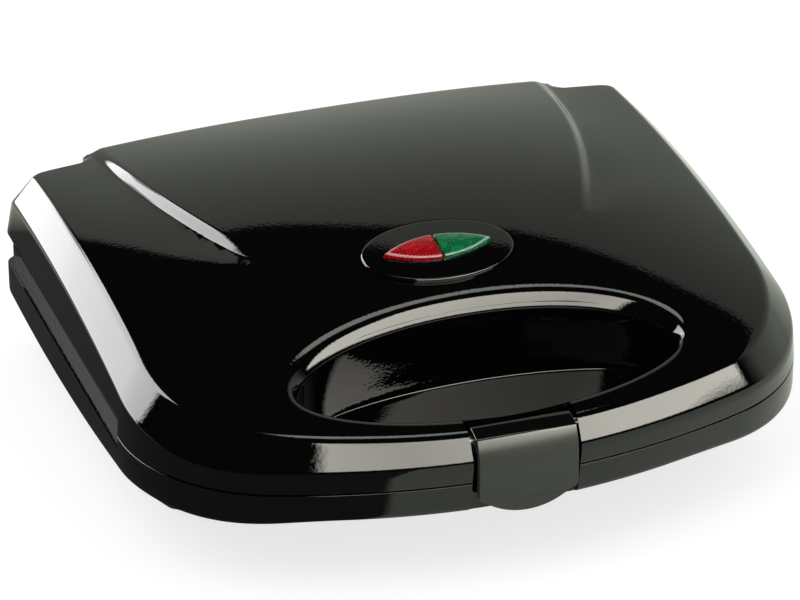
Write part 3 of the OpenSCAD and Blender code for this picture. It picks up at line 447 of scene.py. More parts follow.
class Wire:
    """A socket, whose number can be reckoned with like a Python number."""

    def __init__(self, nodes, socket):
        self.nodes = nodes
        self.socket = socket

    def math(self, operation, *others):
        inputs = {k + 1: v for k, v in enumerate(others)}
        inputs[0] = self
        return self.nodes.add("ShaderNodeMath", {"operation": operation}, inputs)

    def reverse(self, operation, other):
        return self.nodes.add("ShaderNodeMath", {"operation": operation}, {0: other, 1: self})

    def __add__(self, other):
        return self.math("ADD", other)

    __radd__ = __add__

    def __sub__(self, other):
        return self.math("SUBTRACT", other)

    def __rsub__(self, other):
        return self.reverse("SUBTRACT", other)

    def __mul__(self, other):
        return self.math("MULTIPLY", other)

    __rmul__ = __mul__

    def __truediv__(self, other):
        return self.math("DIVIDE", other)

    def __rtruediv__(self, other):
        return self.reverse("DIVIDE", other)

    def __pow__(self, other):
        return self.math("POWER", other)

    def clamp(self, low=0.0, high=1.0):
        return self.math("MAXIMUM", low).math("MINIMUM", high)

    def wave(self):
        return self.math("SINE")

    def size(self):
        return self.math("ABSOLUTE")

    def above(self, edge, width):
        """0 below the edge and 1 above it, with a soft step of that width."""
        return ((self - edge) / width + 0.5).clamp()


class Nodes:
    """A material's or a world's node tree."""

    def __init__(self, owner, output):
        owner.use_nodes = True
        self.tree = owner.node_tree
        self.tree.nodes.clear()
        self.out = self.tree.nodes.new(output)

    def feed(self, socket, value):
        """Links a wire to a socket, or sets the socket's value."""
        if isinstance(value, Wire):
            self.tree.links.new(value.socket, socket)
        else:
            socket.default_value = value

    def add(self, kind, settings, inputs, output=0):
        """A node of that type with its settings, and the values or links of its sockets."""
        node = self.tree.nodes.new(kind)
        for key, value in settings.items():
            setattr(node, key, value)
        for key, value in inputs.items():
            self.feed(node.inputs[key], value)
        return Wire(self, node.outputs[output])

    def split(self, vector):
        """A vector's three numbers."""
        parts = self.add("ShaderNodeSeparateXYZ", {}, {0: vector}).socket.node.outputs
        return [Wire(self, parts[k]) for k in range(3)]

    def ray(self, kind):
        """1 for rays of that kind, such as Is Camera Ray, and 0 for others."""
        return self.add("ShaderNodeLightPath", {}, {}, kind)

    def blend(self, factor, one, two):
        """A colour between two colours."""
        return self.add("ShaderNodeMix", {"data_type": "RGBA"}, {0: factor, 6: one, 7: two}, 2)

    def mix(self, factor, one, two):
        """A shader between two shaders."""
        return self.add("ShaderNodeMixShader", {}, {0: factor, 1: one, 2: two})

    def end(self, shader):
        """Sends that shader to the output."""
        self.feed(self.out.inputs[0], shader)


class Finish(Nodes):
    """One material's node tree, ended by a Principled shader."""

    def __init__(self, name, base, roughness, metallic=0.0, **constants):
        self.material = bpy.data.materials.new(name)
        super().__init__(self.material, "ShaderNodeOutputMaterial")
        self.shader = self.add("ShaderNodeBsdfPrincipled", {}, {})
        self.end(self.shader)
        self.set("Base Color", (*base, 1.0))
        self.set("Roughness", roughness)
        self.set("Metallic", metallic)
        for key, value in constants.items():
            self.set(key.replace("_", " "), value)
        self.material.diffuse_color = (*base, 1.0)

    def set(self, socket, value):
        """Links or sets one of the Principled shader's sockets."""
        self.feed(self.shader.socket.node.inputs[socket], value)

    def place(self):
        """Object coordinates."""
        return self.add("ShaderNodeTexCoord", {}, {}, "Object")

    def axes(self):
        """Object coordinates as three numbers."""
        return self.split(self.place())

    def noise(self, scale, detail=2.0, stretch=(1.0, 1.0, 1.0)):
        """Cloudy noise from 0 to 1, finer as scale grows."""
        where = self.add("ShaderNodeMapping", {}, {"Vector": self.place(), "Scale": stretch})
        return self.add("ShaderNodeTexNoise", {}, {"Vector": where, "Scale": scale, "Detail": detail}, "Fac")

    def bump(self, height, strength, distance):
        """A bump on the shader's normal."""
        inputs = {"Height": height, "Strength": strength, "Distance": distance}
        self.set("Normal", self.add("ShaderNodeBump", {}, inputs))


def tone(colour_value, share):
    """A colour made lighter or darker, with full alpha."""
    return (*[min(1.0, c * share) for c in colour_value], 1.0)


def gloss_plastic(name, base):
    """High-gloss moulding: a faint orange peel and slight wear in the shine."""
    finish = Finish(name, base, 0.035, IOR=1.5)
    haze = finish.noise(60.0, 3.0)
    finish.set("Base Color", finish.blend(haze, tone(base, 0.8), tone(base, 1.25)))
    finish.set("Roughness", 0.012 + 0.02 * haze)
    finish.bump(finish.noise(850.0, 1.0), 0.2, 0.00006)
    return finish.material


def satin_plastic(name, base, roughness=0.36):
    """Fine-grained moulding."""
    finish = Finish(name, base, roughness, IOR=1.5)
    cloud = finish.noise(90.0, 3.0)
    finish.set("Base Color", finish.blend(cloud, tone(base, 0.85), tone(base, 1.2)))
    finish.set("Roughness", roughness - 0.04 + 0.08 * cloud)
    finish.bump(finish.noise(2600.0, 2.0), 0.18, 0.00004)
    return finish.material


def clip_plastic(name, base, crown):
    """Satin face under a crown that is as glossy as the lid. Crown is the height where it starts."""
    finish = Finish(name, base, 0.3, IOR=1.5)
    _, _, z = finish.axes()
    grain = finish.noise(2600.0, 2.0)
    cloud = finish.noise(90.0, 3.0)
    gloss = z.above(crown, 0.0004)
    finish.set("Roughness", (0.26 + 0.08 * cloud) * (1 - gloss) + 0.03 * gloss)
    finish.set("Base Color", finish.blend(gloss, tone(base, 1.0), tone(base, 0.12)))
    finish.bump(grain * (1 - gloss), 0.18, 0.00004)
    return finish.material


def coating(name, base):
    """Non-stick coating sprayed on cast metal: fine speckle, soft sheen and light rubbing."""
    finish = Finish(name, base, 0.42, IOR=1.5)
    speckle = finish.noise(1500.0, 3.0)
    patch = finish.noise(28.0, 4.0)
    finish.set("Base Color", finish.blend(speckle.above(0.62, 0.12), tone(base, 0.9), tone(base, 2.4)))
    finish.set("Roughness", 0.3 + 0.22 * patch)
    finish.bump(speckle + 0.6 * finish.noise(240.0, 2.0), 0.3, 0.00006)
    return finish.material


def metal(name, base, roughness, stretch, tarnish=0.0, warm=(0.32, 0.22, 0.14)):
    """Drawn or plated metal with fine lines along one way, and tarnish in patches."""
    finish = Finish(name, base, roughness, 1.0)
    lines = finish.noise(900.0, 3.0, stretch)
    patch = finish.noise(35.0, 4.0)
    bright = finish.blend(lines, tone(base, 0.82), tone(base, 1.1))
    finish.set("Base Color", finish.blend(patch.above(0.55, 0.25) * tarnish, bright, (*warm, 1.0)))
    finish.set("Roughness", roughness - 0.08 + 0.16 * lines + 0.1 * patch * tarnish)
    finish.bump(lines, 0.12, 0.00005)
    return finish.material


def rubber(name, base):
    """Dusty moulded rubber."""
    finish = Finish(name, base, 0.75)
    dust = finish.noise(220.0, 4.0)
    finish.set("Base Color", finish.blend(dust.above(0.58, 0.2), tone(base, 0.9), tone(base, 1.8)))
    finish.set("Roughness", 0.66 + 0.2 * dust)
    finish.bump(finish.noise(1400.0, 3.0), 0.35, 0.0001)
    return finish.material


def lens_plastic(name, base, tilt):
    """Clear coloured plastic over a moulded grid: deep colour with a fine darker net, and a painted glow
    with painted glints in its emission.
    """
    finish = Finish(name, base, 0.1, IOR=1.49, Coat_Weight=0.6, Coat_Roughness=0.03)
    x, y, _ = finish.axes()
    pitch = 0.00118
    columns = (x * (math.pi / pitch)).wave().size()
    rows = (y * (math.pi / (pitch * math.cos(tilt)))).wave().size()
    net = (columns * rows) ** 0.5
    # Painted glow and glints: the emission makes the lens glow faintly all over, and brighter in scattered
    # spots.
    painted_glint = finish.noise(420.0, 2.0).above(0.56, 0.12)
    finish.set("Base Color", finish.blend(net, tone(base, 0.18), tone(base, 1.0)))
    finish.set("Emission Color", finish.blend(painted_glint, tone(base, 0.25), tone(base, 2.0)))
    finish.set("Emission Strength", 0.3)
    finish.bump(net, 0.3, 0.00015)
    return finish.material


def housing_black(colours):
    """The gloss black of lid, base and bezel, made once."""
    return bpy.data.materials.get("gloss_black") or gloss_plastic("gloss_black", colours.housing)


def pale_plastic(name, base, roughness=0.5):
    """Plain moulding or ceramic with a slight cloud."""
    finish = Finish(name, base, roughness)
    cloud = finish.noise(120.0, 3.0)
    finish.set("Base Color", finish.blend(cloud, tone(base, 0.9), tone(base, 1.06)))
    finish.set("Roughness", roughness - 0.06 + 0.12 * cloud)
    finish.bump(finish.noise(1800.0, 2.0), 0.15, 0.00005)
    return finish.material


def lamp_glass(name, base):
    """Glass of a small neon lamp."""
    finish = Finish(name, base, 0.05, IOR=1.5, Coat_Weight=0.6)
    core = finish.noise(300.0, 2.0)
    finish.set("Base Color", finish.blend(core, tone(base, 0.6), tone(base, 1.1)))
    finish.set("Roughness", 0.04 + 0.06 * core)
    return finish.material


# Pieces


def lid_rings(form):
    """Rings of the lid's outer skin, from the parting plane to the top."""
    knee = 0.35  # share of the cheek's height up to which the wall stands straight
    middle_d = 109.5
    columns = []
    for p in form.outline(30, 40, 34, REAR_STOPS):
        s = form.side_part(p)
        rim_d = 0.2 * (1 - s)
        low_d = -1.3 + 2.2 * s
        up_d = 3.5 + (form.chamfer - 3.5) * s
        top_d = up_d + 6
        low_z = form.cheek(form.inset(p, low_d, 0.0)[1])

        def height(d, r):
            x, y = form.inset(p, d, r)
            return form.under_panel(x, y - form.wing_cut(p))

        up_z = height(up_d, 0.8)
        corners = [
            (rim_d + 0.6, form.gap / 2),
            (rim_d, form.gap / 2),
            (rim_d + (low_d - rim_d) * knee, low_z * knee),
            (low_d, low_z),
            (up_d, up_z),
            (top_d, height(top_d, 1.2)),
        ]
        side = []
        for d, z in rounded(corners, [0.45, 2.2, 3.0 - 1.9 * s, 2.2 - 0.9 * s], 8):
            up = clamp01((z - low_z) / max(0.5, up_z - low_z))
            back = clamp01((z / low_z - knee) / (1 - knee))
            x, y = form.inset(p, d, 0.8 * up)
            side.append((x, y - form.wing_cut(p) * back, z))
        for k in range(1, 27):
            u = k / 26
            x, y = form.inset(p, top_d + (middle_d - top_d) * u, 1.2 + 56 * u**1.6)
            y -= form.wing_cut(p) * (1 - u)
            side.append((x, y, form.under_panel(x, y)))
        columns.append(side)
    return [[form.world(place) for place in ring] for ring in zip(*columns)]


def panel_slab(form):
    """The raised middle panel: a grid whose lines follow its edges, thickened downwards."""
    bottom = 14.0
    front_drop = {-28.5: 1.0, -28.4: 0.3, -28.3: 0.0}
    rear_drop = {79.5: 0.0, 81: 0.0, 82.2: 0.0, 83.0: 0.06, 83.45: 0.35, 83.65: 1.2}
    drop = {**front_drop, **rear_drop}
    ys = [*front_drop, *(PANEL_START + 106 * i / 76 for i in range(77)), *rear_drop]
    rows = []
    for y in ys:
        edge, width = form.panel_edge(y), form.slope_width(y)
        half = [edge * k / 22 for k in range(22)]
        half += [edge - 0.3 * width, edge - 0.12 * width] + [edge + width * k / 12 for k in range(13)]
        half += [edge + 1.05 * width, edge + 1.3 * width]
        side_drop = {half[-2]: 0.03, half[-1]: 0.8}
        row = [(x, y, form.panel_top(x, y) - drop.get(y, 0.0) - side_drop.get(x, 0.0)) for x in half]
        rows.append([(-x, y, z) for x, y, z in row[:0:-1]] + row)
    deselect()
    bpy.ops.mesh.primitive_grid_add(x_subdivisions=len(rows[0]) - 1, y_subdivisions=len(rows) - 1, size=1)
    piece = named("panel")
    for vert, place in zip(piece.data.vertices, [place for row in rows for place in row]):
        vert.co = form.world(place)
    bpy.ops.object.mode_set(mode="EDIT")
    bpy.ops.mesh.select_all(action="SELECT")
    bpy.ops.mesh.extrude_region_move()
    work = bmesh.from_edit_mesh(piece.data)
    for vert in work.verts:
        if vert.select:
            vert.co.z = form.world((0, 0, bottom)).z
    bmesh.update_edit_mesh(piece.data)
    bpy.ops.mesh.select_all(action="SELECT")
    bpy.ops.mesh.normals_make_consistent(inside=False)
    bpy.ops.object.mode_set(mode="OBJECT")
    return piece


def oval(a, b, count):
    """Points of an oval with those half lengths."""
    turns = [2 * math.pi * i / count for i in range(count)]
    return [(a * math.cos(turn), b * math.sin(turn)) for turn in turns]


def rim_profile():
    """The rolled rim of the grip recess, as pairs of way inwards and depth under the dome."""
    profile = [(0.0, 0.0)]
    inward = depth = 0.0
    for run, first, last in RIM_BENDS:
        for k in range(5):
            tilt = math.radians(first + (last - first) * (k + 0.5) / 5)
            inward += run / 5 * math.cos(tilt)
            depth += run / 5 * (math.sin(tilt) - GRIP_SLOPE * math.cos(tilt))
            profile.append((inward, depth))
    return profile


def grip_oval(fittings, inward):
    """The recess's oval, moved in from its rim, with less of it at the front."""
    a = fittings.grip_half_width / MM
    b = fittings.grip_half_depth / MM
    ring = []
    for c, s in oval(1, 1, 200):
        front = max(0.0, -s)
        way = inward * (1 - 0.15 * front)
        ring.append(((a - way) * c, GRIP_Y + (b + 0.5 * front - way) * s))
    return ring


def grip_ring(form, fittings, inward, z=None, depth=0.0):
    """The oval as a ring, level at z or else at a depth under the dome."""
    ring = grip_oval(fittings, inward)
    return [form.world((x, y, form.dome(x, y) - depth if z is None else z)) for x, y in ring]


def grip_bowl(form, fittings):
    """Cutter of the grip recess: floor, steep wall and a rolled rim that meets the lid's top."""
    profile = rim_profile()
    wall = profile[-1][0]
    floor = 3.0
    rings = []
    for k in range(5):
        t = math.pi / 2 * k / 4
        inward = wall + 0.3 + 0.6 * (1 - math.sin(t))
        rings.append(grip_ring(form, fittings, inward, floor + 0.6 * (1 - math.cos(t))))
    rings.append(grip_ring(form, fittings, wall + 0.2, floor + 3.0))
    for inward, depth in profile[::-1]:
        rings.append(grip_ring(form, fittings, inward, depth=depth))
    rings.append(grip_ring(form, fittings, -1.2, depth=-3))
    rings.append(grip_ring(form, fittings, -1.2, 50))
    return loft("grip_bowl", rings)


def grip_wall(form, fittings):
    """The bowl's own wall inside the lid."""
    wall = rim_profile()[-1][0]
    rings = [
        grip_ring(form, fittings, wall + 2, form.gap / 2 + 0.2),
        grip_ring(form, fittings, wall - 1.9, 4.5),
        grip_ring(form, fittings, wall - 2.0, depth=7.5),
        grip_ring(form, fittings, wall - 3.4, depth=3.0),
    ]
    return loft("grip_wall", rings)


def inner_outline(form):
    """A coarser outline, for the hollows."""
    return form.outline(8, 12, 8, [100, 90, 79, 60, 40, 20, 0])


def lid_hollow(form):
    """The space under the lid's skin."""
    line = inner_outline(form)
    wall = form.wall
    rings = [[form.world((*form.inset(p, wall, wall), 9.0)) for p in line]]
    ring = []
    for p in line:
        x, y = form.inset(p, wall + 0.3, wall)
        ring.append(form.world((x, y - 0.92 * form.wing_cut(p), max(10.0, form.cheek(p[1]) - 1.5))))
    rings.append(ring)
    for d, r in ((wall + form.chamfer, wall + 0.8), (24, 9), (50, 26), (78, 48), (104, 70)):
        ring = []
        for p in line:
            x, y = form.inset(p, d, r)
            y -= form.wing_cut(p) * (1 - r / 80)
            ring.append(form.world((x, y, form.under_panel(x, y) - wall - 0.6)))
        rings.append(ring)
    return loft("lid_hollow", rings)


def inside(form, up):
    """The plate bay and the hollow under the front deck, above or below the parting plane."""
    edge = form.lip_inset + form.wall
    line = [form.inset(p, edge, edge) for p in inner_outline(form)]
    depth = (6.4 if up > 0 else 4.9) + form.wall + 0.01
    heights = (0.0, depth) if up > 0 else (depth, 0.0)
    space = loft("inside", [[form.world((x, y, up * z)) for x, y in line] for z in heights])
    tall = sorted((up * -1, up * (depth + 1)))
    low = sorted((up * -1, up * (form.gap / 2 + form.wall)))
    cut(space, block(form, -200, 200, form.bay_front - form.wall, form.bay_front, *tall))
    cut(space, block(form, -200, 200, -form.front, form.bay_front, *low))
    return space


def side_recess(form, z0, z1):
    """Cutters of the recess along each side, where lid and base meet."""
    cutters = []
    for s in (-1, 1):
        inner, outer = s * (form.half_w - form.lip_inset), s * (form.half_w + 5)
        cutters.append(block(form, inner, outer, RECESS_FRONT, form.rear + 5, z0, z1))
    return cutters


def bay_wall(form, z0, z1):
    """The wall at the front of the plate bay."""
    return block(form, -BAY_HALF, BAY_HALF, form.bay_front - form.wall, form.bay_front, z0, z1)


def notch(form, rear, z0, z1):
    """A cutter of the clip's notch, as far as its rear."""
    return block(form, -NOTCH_HALF, NOTCH_HALF, NOTCH_FRONT, rear, z0, z1)


def notch_wall(form, front, rear, z0, z1):
    """The thickening round the clip's notch."""
    half = NOTCH_HALF + form.wall
    return block(form, -half, half, front, rear, z0, z1)


def bezel_frame(form):
    """The plane that touches the dome under the bezel: its origin and slope."""
    return BEZEL_Y, form.spine(BEZEL_Y), math.atan(2 * SPINE_BEND * (SPINE_CREST - BEZEL_Y))


def on_dome(form, x, v, w):
    """A point of the bezel's plane, v up the slope and w away from the dome."""
    y, z, tilt = bezel_frame(form)
    up, away = math.sin(tilt), math.cos(tilt)
    return form.world((x, y + v * away - w * up, z + v * up + w * away))


def dome_loft(name, form, levels, lean=0.0):
    """A loft of ovals in the bezel's plane, each level a half length, half depth and height.

    The levels at and above the plane lean forward by that slope.
    """
    rings = []
    for a, b, w in levels:
        slope = lean if w > -1 else 0.0
        rings.append([on_dome(form, x, v, w - slope * v) for x, v in oval(a, b, 128)])
    return loft(name, rings)


def boss(form, y, top, up):
    """A plate screw's boss, from the plate's back to the roof or floor."""
    back, outer_r, bore_r = 2.7, 3.5, 1.5
    post = rod(form, "Z", outer_r, (0, y, up * back), up * (top - back))
    return cut(post, rod(form, "Z", bore_r, (0, y, up * (back - 1)), up * (top - back - 2)))


def knuckle(form, x, span, z0, z1):
    """One hinge knuckle, with the web that ties it to the rear wall."""
    barrel_r, bore_r = 4.2, 1.65
    hinge_y = form.rear + HINGE_BACK
    barrel = rod(form, "X", barrel_r, (x - span / 2, hinge_y, HINGE_UP), span, 96)
    add(barrel, block(form, x - span / 2, x + span / 2, form.rear - 0.5, hinge_y, z0, z1))
    bevel_edges(barrel, 0.35, 3)
    return cut(barrel, rod(form, "X", bore_r, (x - span / 2 - 1, hinge_y, HINGE_UP), span + 2))


def build_lid(form, fittings):
    """The lid's shell with its panel, bowl, notch, bezel seat, bosses and knuckles."""
    seat_a = fittings.bezel_half_width / MM + BEZEL_CLEARANCE
    seat_b = fittings.bezel_half_depth / MM + BEZEL_CLEARANCE
    hole_a, hole_b = seat_a - BEZEL_STEP, seat_b - BEZEL_STEP
    lid = loft("lid_cover", lid_rings(form))
    add(lid, panel_slab(form))
    cut(lid, lid_hollow(form), inside(form, 1))
    add(
        lid,
        grip_wall(form, fittings),
        bay_wall(form, 2.85, 17.0),
        notch_wall(form, -120.2, -110.5, form.gap / 2, 13.2),
    )
    cut(
        lid,
        grip_bowl(form, fittings),
        notch(form, -113.1, -1, 44),
        *side_recess(form, -1, 6.4),
        dome_loft("seat", form, [(seat_a, seat_b, -2.2), (seat_a, seat_b, 9)]),
        dome_loft("seat_hole", form, [(hole_a, hole_b, -9), (hole_a, hole_b, 1)]),
        rod(form, "X", LATCH_BORE_R, (-20.45, LATCH_Y, LATCH_Z), 40.9),
    )
    for y in SCREW_YS:
        add(lid, boss(form, y, form.spine(y) - 1.2, 1))
    for s in (-1, 1):
        add(lid, knuckle(form, s * HINGE_X, 12, 1.0, 9.0))
    return smooth(lid)


def base_rings(form):
    """Rings of the base's outer skin, from the floor up to the rim."""
    middle_d = 62
    columns = []
    for p in form.outline(30, 40, 34, REAR_STOPS[::2] + [0]):
        s = form.side_part(p)
        rim_d = 0.2 * (1 - s)
        foot_d = rim_d + 2.0 * (1 - s) ** 2
        turn_d = foot_d + 5.0
        edge = form.base_edge(p[1]) + 2.2 - 1.2 * s + 6.4 * s * (1 - s)
        slope = form.under_slope(p)

        def depth(d):
            return soft_max(UNDERSIDE, -(edge + slope * (d - foot_d)), 1.5)

        corners = [
            (rim_d + 0.6, -form.gap / 2),
            (rim_d, -form.gap / 2),
            (foot_d, -edge),
            (turn_d, depth(turn_d)),
        ]
        side = []
        for d, z in rounded(corners, [1.0, 2.0], 6):
            side.append((*form.inset(p, d, 0.3 * clamp01((d - foot_d) / 5.0)), z))
        for k in range(1, 15):
            u = k / 14
            d = turn_d + (middle_d - turn_d) * u
            side.append((*form.inset(p, d, 0.3 + 8.7 * u * u), depth(d) if k < 14 else UNDERSIDE))
        columns.append(side[::-1])
    return [[form.world(place) for place in ring] for ring in zip(*columns)]


def base_hollow(form):
    """The space inside the base's skin."""
    line = inner_outline(form)
    wall = form.wall
    floor = UNDERSIDE + wall
    rings = [[form.world((*form.inset(p, 64 + wall, 9 + wall), floor)) for p in line]]
    for d, r in ((54, 6.5), (38, 2.5), (14, 0.6), (1.2, 0.2)):
        ring = []
        for p in line:
            x, y = form.inset(p, d + wall + 1.6 * (1 - form.side_part(p)), r + wall)
            depth = form.base_edge(p[1]) + form.under_slope(p) * (d + 1) + 0.6 - wall
            ring.append(form.world((x, y, -max(8.0, min(-floor, depth)))))
        rings.append(ring)
    top = [form.inset(p, wall + 1 + 1.6 * (1 - form.side_part(p)), wall) for p in line]
    rings.append([form.world((x, y, -7.5)) for x, y in top])
    return loft("base_hollow", rings)


def vents(form):
    """Cutters of the row of slots in the floor."""
    count, pitch, half, front, rear = 7, 8, 1.2, -27, -1
    cutters = []
    for i in range(count):
        x = (i - count // 2) * pitch
        slot = block(form, x - half, x + half, front, rear, -35, -30.4)
        ends = [rod(form, "Z", half, (x, y, -35), 4.6, 32) for y in (front, rear)]
        cutters.append(add(slot, *ends))
    return cutters


def build_base(form):
    """The base's shell with its bay, deck, notch, vents, inlet, foot holes, bosses and knuckles."""
    base = loft("base_tray", base_rings(form))
    cut(base, base_hollow(form), inside(form, -1))
    add(base, bay_wall(form, -14.4, -2.85), notch_wall(form, -121.3, -113.1, -8.5, -form.gap / 2))
    cut(
        base,
        notch(form, -121.7, -30, 1),
        notch(form, -118.8, -30, -4.55),
        *side_recess(form, -4.9, 1),
        *vents(form),
        rod(form, "Y", 6.2, (34, 79.9, -20), 6.6),
    )
    for x, y in FEET:
        cut(base, rod(form, "Z", 3.05, (x, y, -35), 3.0))
    for y in SCREW_YS:
        add(base, boss(form, y, 32.8, -1))
    for s in (-1, 1):
        for k in (-1, 1):
            add(base, knuckle(form, s * HINGE_X + k * 9.4, 6, -12.9, -2.0))
    return smooth(base)


def direction(v):
    """The way of length 1 that points as v does."""
    size = math.hypot(*v)
    return v[0] / size, v[1] / size


def between(a, b):
    """The way from one point to another."""
    return b[0] - a[0], b[1] - a[1]


def triangle_ring(corners, grow, radius, steps=9):
    """A triangle grown outwards from its incentre, with each corner rounded."""
    sides = [math.dist(corners[(k + 1) % 3], corners[(k + 2) % 3]) for k in range(3)]
    total = sum(sides)
    mid = [sum(side * corner[k] for side, corner in zip(sides, corners)) / total for k in (0, 1)]
    u, v = between(corners[0], corners[1]), between(corners[0], corners[2])
    share = 1 + grow * total / abs(u[0] * v[1] - u[1] * v[0])
    grown = [[mid[k] + (corner[k] - mid[k]) * share for k in (0, 1)] for corner in corners]
    ring = []
    for i in range(3):
        here, before, after = grown[i], grown[i - 1], grown[(i + 1) % 3]
        u, v = direction(between(here, before)), direction(between(here, after))
        half = math.acos(max(-1, min(1, u[0] * v[0] + u[1] * v[1]))) / 2
        w = direction((u[0] + v[0], u[1] + v[1]))
        centre = [here[k] + w[k] * radius / math.sin(half) for k in (0, 1)]
        run = radius / math.tan(half)
        first = math.atan2(here[1] + u[1] * run - centre[1], here[0] + u[0] * run - centre[0])
        last = math.atan2(here[1] + v[1] * run - centre[1], here[0] + v[0] * run - centre[0])
        sweep = (last - first + math.pi) % (2 * math.pi) - math.pi
        for j in range(steps + 1):
            t = first + sweep * j / steps
            ring.append((centre[0] + radius * math.cos(t), centre[1] + radius * math.sin(t)))
    return ring


def pocket_triangles():
    """The four triangles of the plate, two on either side of each cell's diagonal ridge."""
    margin, middle, ridge_half = 10.9, 6.0, 2.4
    y0, y1 = PLATE_FRONT + margin, PLATE_REAR - margin
    triangles = []
    for s in (-1, 1):
        a, b = s * middle, s * (PLATE_HALF - margin)
        off = ridge_half / abs(direction((b - a, y1 - y0))[0])
        share = 1 - off / (y1 - y0)
        for p, q, r in (
            ((a, y0 + off), (a, y1), (a + (b - a) * share, y1)),
            ((b, y1 - off), (b, y0), (b - (b - a) * share, y0)),
        ):
            u, v = between(p, q), between(p, r)
            triangles.append([p, q, r] if u[0] * v[1] > u[1] * v[0] else [p, r, q])
    return triangles


def pocket(form, triangle, grow, lift, up):
    """One domed pocket as a solid, its mouth at the baking face."""
    mouth, depth = 0.5, 11
    profile = [  # way inwards and share of the depth
        (-0.5, -0.12), (0.0, -0.02), (0.35, 0.03), (0.75, 0.13), (1.1, 0.27), (1.6, 0.44),
        (2.3, 0.6), (3.3, 0.73), (4.8, 0.84), (6.8, 0.92), (9.2, 0.97), (12.0, 1.0),
    ]
    rings = []
    for inward, share in profile:
        radius = max(1.5, 9 + grow - inward)
        z = up * (mouth + lift + share * depth)
        rings.append([form.world((x, y, z)) for x, y in triangle_ring(triangle, grow - inward, radius)])
    return loft("pocket", rings[::up])


def countersink(form, y, up):
    """Cutters of a plate screw's hole and of its tapered seat."""
    head_r, neck_r, hole_r = 3.15, 1.65, 1.7
    hole = rod(form, "Z", hole_r, (0, y, up * 0.2), up * 5, 48)
    seat = rod(form, "Z", head_r, (0, y, up * 0.2), up * 1.9, 48)
    middle = form.world((0, y, up * 1.4))
    for vert in seat.data.vertices:
        if (vert.co.z - middle.z) * up > 0:
            vert.co.x *= neck_r / head_r
            vert.co.y = middle.y + (vert.co.y - middle.y) * neck_r / head_r
    return hole, seat


def plate_ring(form, inward, z):
    """The plate's rounded outline, moved in, at a height."""
    corner = 6.0
    r = corner - inward
    middle, half = (PLATE_FRONT + PLATE_REAR) / 2, (PLATE_REAR - PLATE_FRONT) / 2
    ring = []
    for sx, sy, first in ((1, -1, -90), (1, 1, 0), (-1, 1, 90), (-1, -1, 180)):
        x, y = sx * (PLATE_HALF - corner), middle + sy * (half - corner)
        for j in range(13):
            t = math.radians(first + 90 * j / 12)
            ring.append(form.world((x + r * math.cos(t), y + r * math.sin(t), z)))
    return ring


def build_plate(form, name, up):
    """Cast plate: a rounded slab, four pockets in its face and their bulges on its back."""
    levels = [(0.5, 0.5), (0.15, 0.6), (0.0, 0.95), (0.0, 2.3), (0.3, 2.7)]
    skin = 2.2
    plate = loft(name, [plate_ring(form, inward, up * z) for inward, z in levels[::up]])
    triangles = pocket_triangles()
    add(plate, *[pocket(form, each, skin, skin, up) for each in triangles])
    cut(plate, *[pocket(form, each, 0.0, 0.0, up) for each in triangles])
    for y in SCREW_YS:
        cut(plate, *countersink(form, y, up))
    return smooth(plate, 40)


def lens_outline(a, b, count=28):
    """Two arcs that meet in points left and right."""
    r = (a * a + b * b) / (2 * b)
    turn = math.asin(a / r)
    turns = [turn * (2 * i / count - 1) for i in range(count + 1)]
    rear = [(r * math.sin(t), r * math.cos(t) - r + b) for t in turns]
    front = [(-x, -y) for x, y in rear[1:-1]]
    return (rear + front)[::-1]


def lens_loft(name, form, fittings, levels):
    """A loft of lens shapes in the bezel's plane, each level a growth and a height."""
    a = fittings.lens_half_width / MM
    b = fittings.lens_half_depth / MM
    rings = []
    for grow, w in levels:
        rings.append([on_dome(form, x, v, w) for x, v in lens_outline(a + grow * a / b, b + grow)])
    return loft(name, rings)


def build_bezel(form, fittings):
    """Oval trim that follows the dome, with a rounded edge and a hole for the lenses."""
    a = fittings.bezel_half_width / MM
    b = fittings.bezel_half_depth / MM
    edge_r, edge_w, crown, bow, lean = 0.7, -0.25, 0.83, 0.4, 0.042
    levels = [(BEZEL_STEP, -5.2), (BEZEL_STEP, -2.2), (0.0, -2.2), (0.0, edge_w)]
    for k in range(1, 7):
        t = math.pi / 2 * k / 6
        levels.append((edge_r * (1 - math.cos(t)), edge_w + edge_r * math.sin(t)))
    for inward in (1.4, 2.4, 3.8, 5.4, 7.2, 9.0, 10.6):
        levels.append((inward, crown - bow * ((a - inward) / a) ** 2))
    bezel = dome_loft("light_bezel", form, [(a - d, b - d, w) for d, w in levels], lean)
    cut(bezel, lens_loft("lens_hole", form, fittings, [(0.2, -9), (0.2, 9)]))
    return smooth(bezel, 38)


def build_lens(form, fittings, name, side):
    """Half of the pair of lenses, with a steep wall, a rounded rim and a low dome."""
    half_gap, rim, top, dome = 0.6, 0.7, 2.2, 0.3
    flange = [(1.2, -6.4), (1.2, -5.2), (0.0, -5.2)]
    wall = [(0.0, 0.6), (-0.22, 1.75), (-0.3, 1.98), (-0.48, 2.13), (-rim, top)]
    crown = [(-rim - 0.74 * k, top + dome * (1 - ((8 - k) / 8) ** 2)) for k in range(1, 8)]
    lens = lens_loft(name, form, fittings, flange + wall + crown)
    cut(lens, block(form, side * half_gap, side * -40, -90, 20, 10, 80))
    return smooth(lens, 35)


def paint_lens_rim_highlight(form, lens):
    """Gives the lens's rounded rim the second of its two materials, a pale painted highlight."""
    rim_low, rim_high = 1.8, 2.17
    root = on_dome(form, 0, 0, 0)
    away = (on_dome(form, 0, 0, 1) - root) / MM
    for face in lens.data.polygons:
        if rim_low < (face.center - root).dot(away) / MM < rim_high:
            face.material_index = 1


